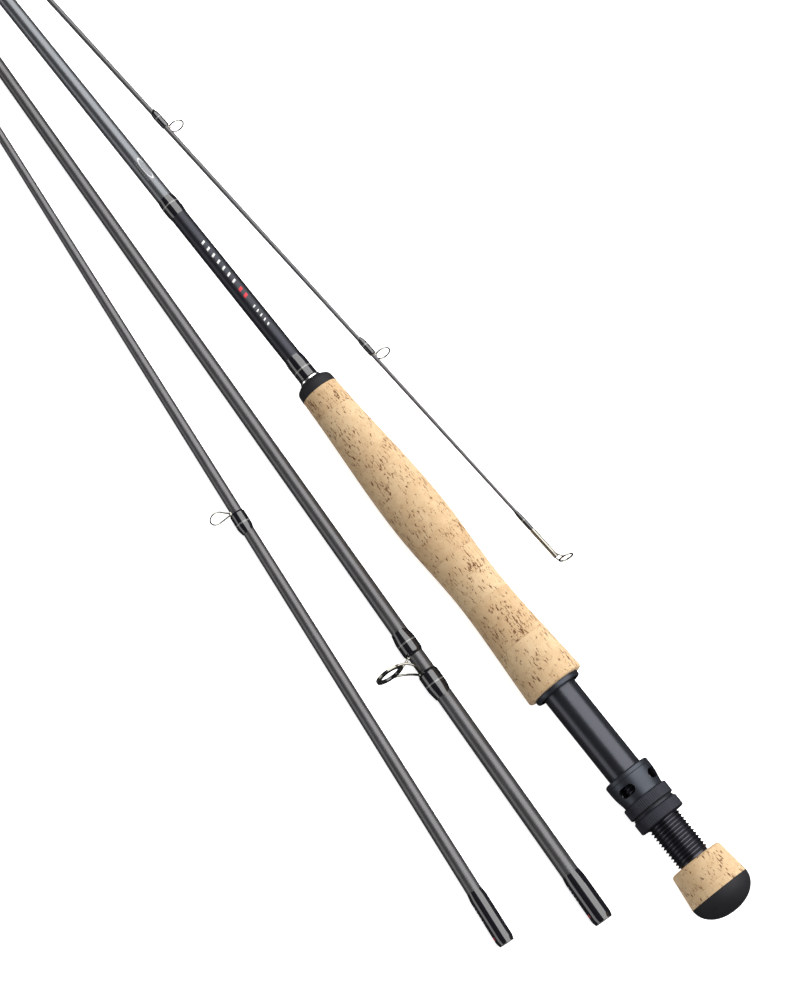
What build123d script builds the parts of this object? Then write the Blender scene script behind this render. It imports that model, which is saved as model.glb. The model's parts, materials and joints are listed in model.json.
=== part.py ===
from build123d import *
import math
import os

os.makedirs("parts", exist_ok=True)

# Four-piece fly rod, taken down and laid out as a fan on a table.
# Every section is modelled along its own X axis, from its butt-side end towards its tip-side end,
# with its line guides on the +Y side, and is then laid down in the shared frame:
# +X from the butt cap along the butt section, +Z up, Z = 0 on the table.
# Sizes are millimetres.

# ---------------------------------------------------------------- the rod as a whole
section_length = 713.0        # each of the four pieces
ferrule_length = 38.0         # straight stretch that plugs into the next section
ferrule_bore_depth = 45.0
ferrule_clearance = 0.025     # radial, between a plug and its socket
contact_gap = 0.05            # between moving faces that meet

# ---------------------------------------------------------------- butt section, measured from the butt cap
cap_length = 11.5
cap_radius = 15.35
butt_cork_length = 17.4
butt_cork_top_radius = 13.5
butt_cork_corner = 1.6
plug_radius = 3.0
plug_depth_in_cap = 6.5
plug_head_length = 4.0

seat_barrel_radius = 8.54
thread_crest_drop = 0.09      # how far the thread's crest lies below the barrel
thread_depth = 0.85
seat_wall = 1.0               # left between the thread's root and the bore
seat_depth_in_cork = 8.9      # how far the seat tube reaches into the butt cork
seat_depth_in_grip = 9.8
thread_pitch = 1.75
thread_start_gap = 0.5        # plain stretch between the butt cork's face and the thread
thread_runout = 0.45          # thread left beyond the upper ring at its furthest
thread_crest_width = 0.5
thread_root_width = 0.35
seat_opening = 97.9           # from the butt cork's face to the fixed hood's rim
key_groove_width = 2.4
key_groove_depth = 0.7
key_clearance = 0.2
key_runout = 1.5              # how far the key groove runs past the hood's tab at its furthest

running_clearance = 0.08      # radial, rings and hood on the seat
lock_ring_height = 3.33       # how far a lock ring stands out over the thread
lock_ring_width = 6.1
lock_ring_chamfer = 0.5
ring_travel_down = 19.5       # how far the lower lock ring can be screwed towards the butt cork
ring_stop_gap = 3.2           # what is left between them then
hood_travel_up = 12.5         # how far the upper lock ring drives the sliding hood
keyed_washer_height = 2.5
keyed_washer_width = 0.9
slip_washer_height = 2.15
slip_washer_width = 0.5

hood_length = 13.4
foot_space = 1.86             # room under a hood for a reel's foot, out from the barrel
hood_base_height = 1.96       # the sliding hood's closed end, out from the barrel
hood_lip_wall = 1.32
hood_lip_length = 2.6
hood_floor = 2.0
hood_window_width = 4.9
hood_window_length = 8.6
hood_window_from_base = 5.7
hood_window_count = 4
hood_window_turn = 26.0       # degrees from straight up towards +Y, to the first window

fixed_hood_rim = 2.5          # how far the fixed hood stands out of the grip
fixed_hood_rim_wall = 1.55
fixed_hood_shell_wall = 1.2
fixed_hood_pocket_depth = 10.2
fixed_hood_length = 12.2

grip_length = 176.9
grip_rear_radius = 14.8
grip_rear_corner = 1.2
grip_neck_radius = 11.92
grip_neck_from_rear = 57.4
grip_swell_radius = 13.55
grip_swell_from_rear = 100.4
grip_front_radius = 9.45
grip_rear_slope = -0.05
grip_front_slope = -0.035

front_ring_length = 6.8
front_ring_radius = 9.6
front_ring_nose = 0.45        # how far its front face starts outside the winding check
winding_check_width = 0.8
winding_check_height = 0.925

bushing_rear_start = 10.0     # from the end of the seat tube
bushing_length = 20.0
bushing_front_inset = 2.0

butt_blank_wall = 1.2
butt_blank_grip_radius = 4.435     # at the winding check
butt_blank_taper = 0.00305         # radius lost per millimetre
butt_blank_taper_length = 227.2    # from the winding check
butt_plug_end_radius = 3.35

butt_wrap_lower_length = 13.1
butt_wrap_upper_from_check = 101.9
butt_wrap_upper_length = 10.8
butt_wrap_rise = 0.42
butt_wrap_ramp = 3.6
butt_wrap_check_fillet = 0.75
butt_collar_step = 0.8          # length of the varnish swelling's steep part
butt_collar_length = 3.0        # length of the whole swelling
butt_band_lower_place = 0.42    # share of the lower wrap's length at which its band lies
butt_band_upper_place = 0.6     # share of the upper wrap's length at which its band lies

# ---------------------------------------------------------------- second section, from its socket end
second_socket_wall = 1.075
second_middle_station = 476.0
second_middle_radius = 3.06
second_plug_radius = 2.725
second_wall = 0.9
second_ferrule_wrap_length = 25.8
second_ferrule_wrap_rise = 0.55

# ---------------------------------------------------------------- third section, from its socket end
third_socket_wall = 1.05
third_middle_station = 433.0
third_middle_radius = 2.24
third_plug_radius = 1.55
third_wall = 0.8
third_ferrule_wrap_length = 27.5
third_ferrule_wrap_rise = 0.55

# ---------------------------------------------------------------- tip section, from its socket end
tip_socket_wall = 0.525
tip_middle_station = 358.0
tip_middle_radius = 1.30
tip_thin_length = 33.0        # straight thin stretch at the end
tip_end_radius = 0.77
tip_wall = 0.55
tip_solid_length = 113.0
tip_hollow_end_radius = 0.3
tip_ferrule_wrap_length = 21.6
tip_ferrule_wrap_rise = 0.4

# ---------------------------------------------------------------- thread wraps and their metallic bands
wrap_edge = 0.06              # how thick the varnish is where a wrap starts
wrap_ramp = 3.6
wrap_step = 1.1               # the steeper ramp, at a guide's ring
band_width = 0.7
band_depth = 0.14
wrap_socket_inset = 0.4       # a ferrule wrap starts this far from the socket's mouth
wrap_socket_ramp = 2.4
ferrule_wrap_ramp = 4.5

# ---------------------------------------------------------------- single-foot wire guides
guide_wire_radius = 0.36
guide_leg_spread = 0.42       # half the distance between the two legs at the foot
guide_foot_width = 1.5
guide_foot_length = 10.0
guide_foot_nose = 0.9
guide_foot_end_thickness = 0.15

tall_ring_radius = 3.55       # the guides of the second and third sections
tall_ring_rise = 7.2          # ring centre from the blank's surface
tall_guide_lean = 10.0        # degrees towards the tip
tall_guide_twist = 35.0       # degrees, the ring's upper side towards the tip
low_ring_radius = 3.6         # the guides of the tip section
low_ring_rise = 4.1
low_guide_lean = 20.0
low_guide_twist = -12.0

guides_roll = 25.0            # degrees the second and third sections' guides point above the table
tip_guides_roll = -34.0       # the tip section's guides point down and rest on the table

second_guides_from_end = [197.0]
third_guides_from_socket = [236.8]
third_guides_from_end = [243.0, 73.0]
tip_guides_from_socket = [106.0]
tip_guides_from_end = [445.0, 282.4, 132.2]
guide_band_place = 0.56       # share of a guide's wrap between its band and the ring
guide_bend_gap = 0.4            # from a guide's wrap to the bend of its wire
guide_wrap_length = 11.0
tall_wrap_rise = 0.83
tall_wrap_lift = 0.35
low_wrap_rise = 0.70
low_wrap_lift = 0.42

# ---------------------------------------------------------------- two-foot stripping guide
stripper_station = 145.0      # middle of the gap between its two wraps
stripper_gap = 9.1
stripper_ring_height = 16.5
stripper_ring_lean = 4.0
stripper_ring_twist = 9.0     # degrees, the ring's upper side towards the tip
stripper_ring_ahead = 2.9     # ring centre from the middle of the gap, towards the tip
stripper_frame_radius = 7.2
stripper_frame_width = 1.1
stripper_insert_radius = 5.45
stripper_insert_section = 0.85
stripper_wire_radius = 0.55
stripper_side_spread = 5.95
stripper_side_drop = 3.2
stripper_shoulder = 6.3       # how far the legs spread at once, beside the blank
stripper_foot_length = 11.0
stripper_foot_width = 2.2
stripper_foot_thickness = 0.75
stripper_wrap_front_length = 13.1
stripper_wrap_rear_length = 14.2
stripper_wrap_ramp = 6.0
stripper_wrap_step = 2.0
stripper_wrap_rise = 0.95
stripper_wrap_lift = 0.38

# ---------------------------------------------------------------- tip-top
tip_top_tube_length = 17.0
tip_top_tube_radius = 1.2
tip_top_tube_end_wall = 1.3
tip_top_ring_radius = 3.35
tip_top_wire_radius = 0.42
tip_top_ring_height = 3.8
tip_top_ring_ahead = 2.9      # ring centre beyond the tube's end
tip_top_end_margin = 3.8      # from the tube's end to the section's nominal end
tip_top_lean = 18.0
tip_top_wrap_length = 11.7
tip_top_wrap_rise = 0.42

# ---------------------------------------------------------------- the fan on the table
second_socket_place = (33.03, 49.42)
second_end_side = 10.91       # how far beside the butt section's line its other end lies
third_socket_place = (52.53, 90.48)
third_end_side = 15.57
tip_top_place = (172.95, -38.07)
tip_beside_butt_end = 6.546   # the tip section's line passes the butt's plug end at this distance
rest_allowance = 0.05         # height by which a section's lowest wrap clears the table


def turned(*points):
    """A solid turned about X from (x, radius) points joined by straight lines."""
    return revolve(make_face(Polyline(*points, close=True)), Axis.X)


def turned_outline(edges):
    """A solid turned about X from edges that close an outline."""
    return revolve(make_face(edges), Axis.X)


def tube(start, end, outer, inner):
    """A straight round tube along X."""
    return turned((start, inner), (start, outer), (end, outer), (end, inner))


def rod_bar(start, end, radius):
    """A straight round bar along X."""
    return turned((start, 0), (start, radius), (end, radius), (end, 0))


def easing(start, start_slope, end, end_slope):
    """A smooth curve between two (x, radius) points that has the given slopes at its ends."""
    third = (end[0] - start[0]) / 3
    first_handle = (start[0] + third, start[1] + start_slope * third)
    last_handle = (end[0] - third, end[1] - end_slope * third)
    return Bezier(start, first_handle, last_handle, end)


def radius_at(stations, x):
    """Radius of a blank at x, between its (x, radius) stations."""
    for (x0, r0), (x1, r1) in zip(stations, stations[1:]):
        if x <= x1:
            return r0 + (r1 - r0) * (x - x0) / (x1 - x0)
    return stations[-1][1]


def envelope(stations):
    """The blank as a solid bar: what is glued or wound on it is cut to this shape."""
    return turned((stations[0][0], 0), *stations, (stations[-1][0], 0))


def hollow(stations):
    """The bar that is taken out of a blank to make it a tube."""
    return turned((stations[0][0], 0), *stations, (stations[-1][0], 0))


def rolled(shape, roll):
    """Turn a guide that was made standing up (+Z) so that it points to +Y, raised by roll degrees."""
    return Rot(roll - 90, 0, 0) * shape


def wrap_body(stations, start, end, rise, start_ramp, end_ramp):
    """The turned outer shape of a varnished thread wrap, solid to the blank's axis."""
    start_radius = radius_at(stations, start) + wrap_edge
    end_radius = radius_at(stations, end) + wrap_edge
    crown_start = (start + start_ramp, radius_at(stations, start + start_ramp) + rise)
    crown_end = (end - end_ramp, radius_at(stations, end - end_ramp) + rise)
    outline = [
        Line((start, 0), (start, start_radius)),
        easing((start, start_radius), rise / start_ramp, crown_start, 0),
        Line(crown_start, crown_end),
        easing(crown_end, 0, (end, end_radius), -rise / end_ramp),
        Line((end, end_radius), (end, 0)),
        Line((end, 0), (start, 0)),
    ]
    return turned_outline(outline)


def banded_wrap(stations, start, end, rise, band_at, lift=0, roll=0, guide=None,
                start_ramp=wrap_ramp, end_ramp=wrap_ramp):
    """A varnished thread wrap round a blank, and the metallic band that is wound into it."""
    whole = wrap_body(stations, start, end, rise, start_ramp, end_ramp)
    band_radius = radius_at(stations, band_at) + rise
    half_width = band_width / 2
    ring = tube(band_at - half_width, band_at + half_width, band_radius + rise, band_radius - band_depth)
    band = whole & ring
    body = whole - ring
    side = math.radians(roll)
    offset = Pos(0, lift * math.cos(side), lift * math.sin(side))
    core = envelope(stations)
    band = offset * band - core
    body = offset * body - core
    if guide is not None:
        body = body - guide
        band = band - guide
    return body, band


def pear_wire(ring_radius, centre_height, lean, twist):
    """A wire bent to a ring with two legs that run together at the foot. It stands at X = 0, Z = 0."""
    lean = math.radians(lean)
    twist = math.radians(twist)
    upwards = Vector(math.sin(lean), 0, math.cos(lean))
    level = Vector(math.cos(lean), 0, -math.sin(lean))
    across = Vector(0, -1, 0) * math.cos(twist) + level * math.sin(twist)
    plane = Plane(origin=(0, 0, 0), x_dir=across, z_dir=across.cross(upwards))
    rise = centre_height / math.cos(lean)
    distance = math.hypot(guide_leg_spread, rise)
    leg = math.sqrt(distance ** 2 - ring_radius ** 2)
    heading = math.atan2(rise, -guide_leg_spread) - math.asin(ring_radius / distance)
    touch = (guide_leg_spread + leg * math.cos(heading), leg * math.sin(heading))
    path = Wire([
        Line((guide_leg_spread, 0), touch),
        ThreePointArc(touch, (0, rise + ring_radius), (-touch[0], touch[1])),
        Line((-touch[0], touch[1]), (-guide_leg_spread, 0)),
    ])
    path = plane.location * path
    section = Plane(origin=path @ 0, z_dir=path % 0) * Circle(guide_wire_radius)
    return sweep(section, path=path)


def single_foot_guide(stations, station, foot_length, ring_radius, ring_rise, lean, twist, roll):
    """A single-foot wire guide on a blank, its foot towards the butt and its ring towards the tip."""
    seat = radius_at(stations, station)
    loop = pear_wire(ring_radius, ring_rise - guide_wire_radius, lean, twist)
    wire = Pos(0, 0, seat + guide_wire_radius) * loop
    top = seat + 2 * guide_wire_radius
    heel = radius_at(stations, station - foot_length) + guide_foot_end_thickness
    side = make_face(Polyline(
        (-foot_length, heel), (-0.3 * foot_length, top), (guide_foot_nose, top),
        (guide_foot_nose, seat / 2), (-foot_length, seat / 2), close=True))
    foot = extrude(Plane.XZ * side, guide_foot_width / 2, both=True)
    guide = Pos(station, 0, 0) * rolled(wire + foot, roll)
    return guide - envelope(stations)


def stripping_guide(stations, roll):
    """The two-foot guide: a wire frame on two feet that holds a hard ring. Returns the frame and the ring."""
    seat = radius_at(stations, stripper_station)
    wire_top = seat + stripper_foot_thickness
    inner_end = stripper_gap / 2 - 0.4

    ring_plane = (Pos(stripper_ring_ahead, 0, stripper_ring_height)
                  * Rot(0, stripper_ring_lean, 0) * Rot(0, 0, stripper_ring_twist))
    half_width = stripper_frame_width / 2
    hoop = tube(-half_width, half_width, stripper_frame_radius, stripper_insert_radius + 0.7)
    insert_circle = Pos(0, stripper_insert_radius) * Circle(stripper_insert_section)
    insert = revolve(insert_circle, Axis.X)
    hoop = hoop - insert

    feet = Part()
    for direction in (-1, 1):
        far = direction * (inner_end + stripper_foot_length)
        near = direction * inner_end
        side = make_face(Polyline(
            (far, seat - 1), (far, seat + 0.15), (near + direction * 3, wire_top), (near, wire_top),
            (near, seat - 1), close=True))
        feet += extrude(Plane.XZ * side, stripper_foot_width / 2, both=True)

    wire_start = wire_top - stripper_wire_radius
    legs = Part()
    for side in (-1, 1):
        foot = Vector(-inner_end - 0.4, 0.45 * side, wire_start)
        hub = (ring_plane * Pos(0, stripper_side_spread * side, -stripper_side_drop)).position
        shoulder = Vector(-inner_end + 2.4, stripper_shoulder * side, seat + 0.4)
        bend = Vector(hub.X - 1.0, (stripper_side_spread + 0.9) * side, hub.Z - 5.5)
        curve = Bezier(foot, shoulder, bend, hub)
        legs += sweep(Plane(origin=curve @ 0, z_dir=curve % 0) * Circle(stripper_wire_radius), path=curve)
    hoop_middle = (stripper_frame_radius + stripper_insert_radius + stripper_insert_section) / 2
    bottom = (ring_plane * Pos(0, 0, -hoop_middle)).position
    brace = ThreePointArc((inner_end + 0.4, 0, wire_start), (inner_end - 0.6, 0, seat + 2.6), bottom)
    legs += sweep(Plane(origin=brace @ 0, z_dir=brace % 0) * Circle(stripper_wire_radius), path=brace)

    insert = ring_plane * insert
    bore = ring_plane * rod_bar(-4, 4, stripper_insert_radius)
    frame = (legs - bore) + feet + ring_plane * hoop - insert
    place = Pos(stripper_station, 0, 0)
    frame = place * rolled(frame, roll) - envelope(stations)
    insert = place * rolled(insert, roll)
    return frame, insert


def line_of(x, y, turn, height, drop):
    """The plane that a section is laid on: X along the section, sinking by drop per millimetre."""
    turn = math.radians(turn)
    dip = math.atan(drop)
    along = Vector(math.cos(dip) * math.cos(turn), math.cos(dip) * math.sin(turn), -math.sin(dip))
    up = Vector(math.sin(dip) * math.cos(turn), math.sin(dip) * math.sin(turn), math.cos(dip))
    return Plane(origin=(x, y, height), x_dir=along, z_dir=up)


# ================================================================ stations of the butt section
cork_face = cap_length + butt_cork_length
seat_start = cork_face - seat_depth_in_cork
thread_start = cork_face + thread_start_gap
hood_rim = cork_face + seat_opening
grip_rear = hood_rim + fixed_hood_rim
seat_end = grip_rear + seat_depth_in_grip
grip_front = grip_rear + grip_length
check_rear = grip_front + front_ring_length
check_front = check_rear + winding_check_width
butt_taper_end = check_front + butt_blank_taper_length
butt_wrap_upper_start = check_front + butt_wrap_upper_from_check
blank_start = seat_start + plug_head_length + 0.4
plug_start = section_length - ferrule_length

lower_ring_rear = cork_face + ring_stop_gap + ring_travel_down
keyed_washer_rear = lower_ring_rear + lock_ring_width + contact_gap
slip_washer_rear = keyed_washer_rear + keyed_washer_width + contact_gap
upper_ring_rear = slip_washer_rear + slip_washer_width + contact_gap
hood_rear = upper_ring_rear + lock_ring_width + contact_gap
thread_end = upper_ring_rear + lock_ring_width + hood_travel_up + thread_runout
groove_end = hood_rear + hood_floor + hood_travel_up + key_runout

seat_crest_radius = seat_barrel_radius - thread_crest_drop
seat_root_radius = seat_crest_radius - thread_depth      # also the spigot that the butt cork is glued on
seat_bore_radius = seat_root_radius - seat_wall
ring_bore = seat_crest_radius + running_clearance
hood_bore = seat_barrel_radius + running_clearance
groove_floor = seat_crest_radius - key_groove_depth
lock_ring_radius = seat_crest_radius + lock_ring_height
keyed_washer_radius = seat_crest_radius + keyed_washer_height
slip_washer_radius = seat_crest_radius + slip_washer_height
hood_base_radius = seat_barrel_radius + hood_base_height
hood_pocket_radius = seat_barrel_radius + foot_space
hood_lip_radius = hood_pocket_radius + hood_lip_wall
fixed_hood_rim_radius = hood_pocket_radius + fixed_hood_rim_wall
fixed_hood_shell_radius = hood_pocket_radius + fixed_hood_shell_wall
winding_check_radius = butt_blank_grip_radius + winding_check_height

butt_stations = [
    (blank_start, butt_blank_grip_radius + butt_blank_taper * (check_front - blank_start)),
    (butt_taper_end, butt_blank_grip_radius - butt_blank_taper * butt_blank_taper_length),
    (plug_start, butt_plug_end_radius),
    (section_length, butt_plug_end_radius),
]
second_stations = [
    (0, butt_plug_end_radius + ferrule_clearance + second_socket_wall),
    (second_middle_station, second_middle_radius),
    (plug_start, second_plug_radius),
    (section_length, second_plug_radius),
]
third_stations = [
    (0, second_plug_radius + ferrule_clearance + third_socket_wall),
    (third_middle_station, third_middle_radius),
    (plug_start, third_plug_radius),
    (section_length, third_plug_radius),
]
tip_tube_end = section_length - tip_top_end_margin
tip_tube_start = tip_tube_end - tip_top_tube_length
tip_blank_end = tip_tube_end - tip_top_tube_end_wall
tip_stations = [
    (0, third_plug_radius + ferrule_clearance + tip_socket_wall),
    (tip_middle_station, tip_middle_radius),
    (section_length - tip_thin_length, tip_end_radius),
    (tip_blank_end, tip_end_radius),
]


def guide_stations_along(from_socket, from_end):
    """The stations of a section's guides, given from its socket and from its far end."""
    return from_socket + [section_length - distance for distance in from_end]


second_guide_stations = guide_stations_along([], second_guides_from_end)
third_guide_stations = guide_stations_along(third_guides_from_socket, third_guides_from_end)
tip_guide_stations = guide_stations_along(tip_guides_from_socket, tip_guides_from_end)


# ================================================================ butt section
def make_butt_blank():
    """The carbon tube, from inside the butt end to the plug that enters the second section."""
    inner = [(x, r - butt_blank_wall) for x, r in butt_stations]
    return envelope(butt_stations) - hollow(inner)


def make_butt_cap():
    """Domed rubber cap with a blind hole for the plug."""
    dome = Bezier((0, 0), (0, 0.586 * cap_radius), (0.417 * cap_length, cap_radius), (cap_length, cap_radius))
    edge = Line((cap_length, cap_radius), (cap_length, 0))
    cap = turned_outline([dome, edge, Line((cap_length, 0), (0, 0))])
    return cap - rod_bar(cap_length - plug_depth_in_cap, cap_length, plug_radius)


def make_butt_plug():
    """Plug that ties the cap and the butt cork to the seat tube."""
    tail = cap_length - plug_depth_in_cap
    head_end = seat_start + plug_head_length
    return turned((tail, 0), (tail, plug_radius), (seat_start, plug_radius), (seat_start, seat_bore_radius),
                  (head_end, seat_bore_radius), (head_end, 0))


def make_butt_cork():
    """The flared fighting butt between the cap and the seat thread."""
    corner = butt_cork_corner
    shoulder = (cork_face - corner, butt_cork_top_radius)
    rim = (cork_face, butt_cork_top_radius - corner)
    middle = (cork_face - 0.3 * corner, butt_cork_top_radius - 0.3 * corner)
    outline = [
        Line((cap_length, 0), (cap_length, cap_radius)),
        Line((cap_length, cap_radius), shoulder),
        ThreePointArc(shoulder, middle, rim),
        Line(rim, (cork_face, 0)),
        Line((cork_face, 0), (cap_length, 0)),
    ]
    cork = turned_outline(outline)
    cork = cork - rod_bar(cap_length, seat_start, plug_radius)
    return cork - rod_bar(seat_start, cork_face, seat_root_radius)


def make_seat_barrel():
    """Seat tube: spigot, threaded stretch, smooth barrel, and a key groove along its underside."""
    flank = (thread_pitch - thread_crest_width - thread_root_width) / 2
    points = [(seat_start, seat_root_radius), (thread_start, seat_root_radius)]
    for turn in range(int((thread_end - thread_start) / thread_pitch)):
        root_end = thread_start + turn * thread_pitch + thread_root_width
        crest = root_end + flank
        points.append((root_end, seat_root_radius))
        points.append((crest, seat_crest_radius))
        points.append((crest + thread_crest_width, seat_crest_radius))
        points.append((crest + thread_crest_width + flank, seat_root_radius))
    points.append((thread_end, seat_root_radius))
    points.append((thread_end, seat_barrel_radius))
    points.append((seat_end, seat_barrel_radius))
    points.append((seat_end, seat_bore_radius))
    points.append((seat_start, seat_bore_radius))
    barrel = turned(*points)
    groove = Pos(cork_face, 0, -groove_floor) * Box(
        groove_end - cork_face, key_groove_width, 3, align=(Align.MIN, Align.CENTER, Align.MAX))
    return barrel - groove


def make_seat_bushings():
    """Two glued bushings that centre the blank in the seat tube."""
    front_start = seat_end - bushing_front_inset - bushing_length
    starts = [blank_start + bushing_rear_start, front_start]
    blank = envelope(butt_stations)
    return [tube(start, start + bushing_length, seat_bore_radius, 0.5) - blank for start in starts]


def make_key(start, width, bore):
    """The tab inside the bore of a washer or hood that runs in the key groove."""
    tab_width = key_groove_width - 2 * key_clearance
    tab_root = groove_floor + key_clearance
    tab = Pos(start, 0, -tab_root) * Box(
        width, tab_width, bore + 0.5 - tab_root, align=(Align.MIN, Align.CENTER, Align.MAX))
    return tab


def make_lock_ring(start):
    """A lock ring, turned smooth with chamfered edges; it screws along the thread."""
    edge = lock_ring_chamfer
    end = start + lock_ring_width
    return turned(
        (start, ring_bore), (start, lock_ring_radius - edge), (start + edge, lock_ring_radius),
        (end - edge, lock_ring_radius), (end, lock_ring_radius - edge), (end, ring_bore))


def make_keyed_washer():
    """Washer between the lock rings, kept from turning by its tab."""
    ring = tube(keyed_washer_rear, keyed_washer_rear + keyed_washer_width, keyed_washer_radius, ring_bore)
    return ring + make_key(keyed_washer_rear, keyed_washer_width, ring_bore)


def make_slip_washer():
    """Plain washer that lets the upper ring turn on the keyed one."""
    return tube(slip_washer_rear, slip_washer_rear + slip_washer_width, slip_washer_radius, ring_bore)


def make_sliding_hood():
    """The hood that clamps a reel foot: a cup with four oblong windows, open towards the grip."""
    end = hood_rear + hood_length
    lip_start = end - hood_lip_length
    lip_round = 0.6
    outline = [
        Line((hood_rear, hood_bore), (hood_rear, hood_base_radius)),
        Bezier((hood_rear, hood_base_radius), (hood_rear + 3, hood_base_radius + 0.1),
               (hood_rear + 4, hood_lip_radius - 0.07), (lip_start, hood_lip_radius)),
        Line((lip_start, hood_lip_radius), (lip_start + 0.15, hood_lip_radius - 0.15)),
        Line((lip_start + 0.15, hood_lip_radius - 0.15), (lip_start + 0.3, hood_lip_radius)),
        Line((lip_start + 0.3, hood_lip_radius), (end - lip_round, hood_lip_radius)),
        Line((end - lip_round, hood_lip_radius), (end, hood_lip_radius - lip_round)),
        Line((end, hood_lip_radius - lip_round), (end, hood_pocket_radius)),
        Line((end, hood_pocket_radius), (hood_rear + hood_floor, hood_pocket_radius)),
        Line((hood_rear + hood_floor, hood_pocket_radius), (hood_rear + hood_floor, hood_bore)),
        Line((hood_rear + hood_floor, hood_bore), (hood_rear, hood_bore)),
    ]
    hood = turned_outline(outline)
    window = extrude(SlotOverall(hood_window_length, hood_window_width), 2 * hood_lip_radius)
    window = Rot(0, 0, 90) * window
    station = Pos(hood_rear + hood_window_from_base, 0, 0)
    for index in range(hood_window_count):
        turn = index * 360 / hood_window_count - hood_window_turn
        hood = hood - station * Rot(turn, 0, 0) * Pos(0, 0, hood_lip_radius / 2) * window
    return hood + make_key(hood_rear, hood_floor, hood_bore)


def make_fixed_hood():
    """The hood let into the grip: a cup round the seat tube, open towards the sliding hood."""
    end = hood_rim + fixed_hood_length
    pocket_end = hood_rim + fixed_hood_pocket_depth
    rim_round = 0.9
    return turned(
        (hood_rim, hood_pocket_radius), (hood_rim, fixed_hood_rim_radius - rim_round),
        (hood_rim + 0.3 * rim_round, fixed_hood_rim_radius - 0.3 * rim_round),
        (hood_rim + rim_round, fixed_hood_rim_radius), (grip_rear, fixed_hood_rim_radius),
        (grip_rear, fixed_hood_shell_radius), (end, fixed_hood_shell_radius), (end, seat_barrel_radius),
        (pocket_end, seat_barrel_radius), (pocket_end, hood_pocket_radius))


def make_cork_grip():
    """The shaped cork grip: flared rear, neck, palm swell, and a taper to the front ring."""
    corner = grip_rear_corner
    flare = (grip_rear + corner, grip_rear_radius)
    inside = (grip_rear, grip_rear_radius - corner)
    between = (grip_rear + 0.3 * corner, grip_rear_radius - 0.3 * corner)
    neck = (grip_rear + grip_neck_from_rear, grip_neck_radius)
    swell = (grip_rear + grip_swell_from_rear, grip_swell_radius)
    front = (grip_front, grip_front_radius)
    outline = [
        Line((grip_rear, 0), inside),
        ThreePointArc(inside, between, flare),
        easing(flare, grip_rear_slope, neck, 0),
        easing(neck, 0, swell, 0),
        easing(swell, 0, front, grip_front_slope),
        Line(front, (grip_front, 0)),
        Line((grip_front, 0), (grip_rear, 0)),
    ]
    grip = turned_outline(outline)
    grip = grip - rod_bar(grip_rear, hood_rim + fixed_hood_length, fixed_hood_shell_radius)
    grip = grip - rod_bar(grip_rear, max(seat_end, hood_rim + fixed_hood_length), seat_barrel_radius)
    return grip - envelope(butt_stations)


def make_grip_front_ring():
    """The rounded rubber ring at the front of the grip."""
    knee = (grip_front + 0.45 * front_ring_length, front_ring_radius - 0.25)
    corner = (grip_front + 0.68 * front_ring_length, front_ring_radius - 0.4)
    shoulder = (grip_front + 0.80 * front_ring_length, front_ring_radius - 1.6)
    nose = (check_rear, winding_check_radius + front_ring_nose)
    outline = [
        Line((grip_front, 0), (grip_front, front_ring_radius)),
        Line((grip_front, front_ring_radius), knee),
        Bezier(knee, corner, shoulder),
        Line(shoulder, nose),
        Line(nose, (check_rear, 0)),
        Line((check_rear, 0), (grip_front, 0)),
    ]
    return turned_outline(outline) - envelope(butt_stations)


def make_winding_check():
    """The thin metal ring that finishes the grip."""
    return tube(check_rear, check_front, winding_check_radius, 0.5) - envelope(butt_stations)


def make_butt_wraps():
    """The two wraps on the butt blank and their bands. The lower one swells up against the check."""
    lower, lower_band = banded_wrap(
        butt_stations, check_front, check_front + butt_wrap_lower_length, butt_wrap_rise,
        check_front + butt_band_lower_place * butt_wrap_lower_length,
        start_ramp=butt_wrap_ramp, end_ramp=butt_wrap_ramp)
    seat = radius_at(butt_stations, check_front)
    collar_end = check_front + butt_collar_length
    collar = turned(
        (check_front, 0), (check_front, seat + butt_wrap_check_fillet),
        (check_front + butt_collar_step, seat + 0.6 * butt_wrap_check_fillet),
        (collar_end, seat + 0.9 * butt_wrap_rise), (collar_end, 0)) - envelope(butt_stations)
    lower = lower + collar
    upper_end = butt_wrap_upper_start + butt_wrap_upper_length
    upper, upper_band = banded_wrap(
        butt_stations, butt_wrap_upper_start, upper_end, butt_wrap_rise,
        butt_wrap_upper_start + butt_band_upper_place * butt_wrap_upper_length,
        start_ramp=butt_wrap_ramp, end_ramp=butt_wrap_ramp)
    return lower, upper, [lower_band, upper_band]


# ================================================================ upper sections
def make_socket_blank(stations, wall, plug_radius_inside):
    """A blank with a straight socket at its butt-side end."""
    socket = plug_radius_inside + ferrule_clearance
    behind = ferrule_bore_depth + 60
    inner = [(0, socket), (ferrule_bore_depth, socket),
             (behind, min(socket, radius_at(stations, behind) - wall))]
    inner += [(x, r - wall) for x, r in stations[1:]]
    return envelope(stations) - hollow(inner)


def make_tip_blank():
    """The tip blank, hollow for most of its length and solid at its thin end."""
    socket = third_plug_radius + ferrule_clearance
    behind = ferrule_bore_depth + 60
    inner = [(0, socket), (ferrule_bore_depth, socket), (behind, radius_at(tip_stations, behind) - tip_wall),
             (tip_middle_station, tip_middle_radius - tip_wall),
             (section_length - tip_solid_length, tip_hollow_end_radius)]
    return envelope(tip_stations) - hollow(inner)


def make_ferrule_wrap(stations, length, rise):
    """The long wrap that keeps a socket from splitting."""
    end = wrap_socket_inset + length
    whole = wrap_body(stations, wrap_socket_inset, end, rise, wrap_socket_ramp, ferrule_wrap_ramp)
    return whole - envelope(stations)


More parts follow.
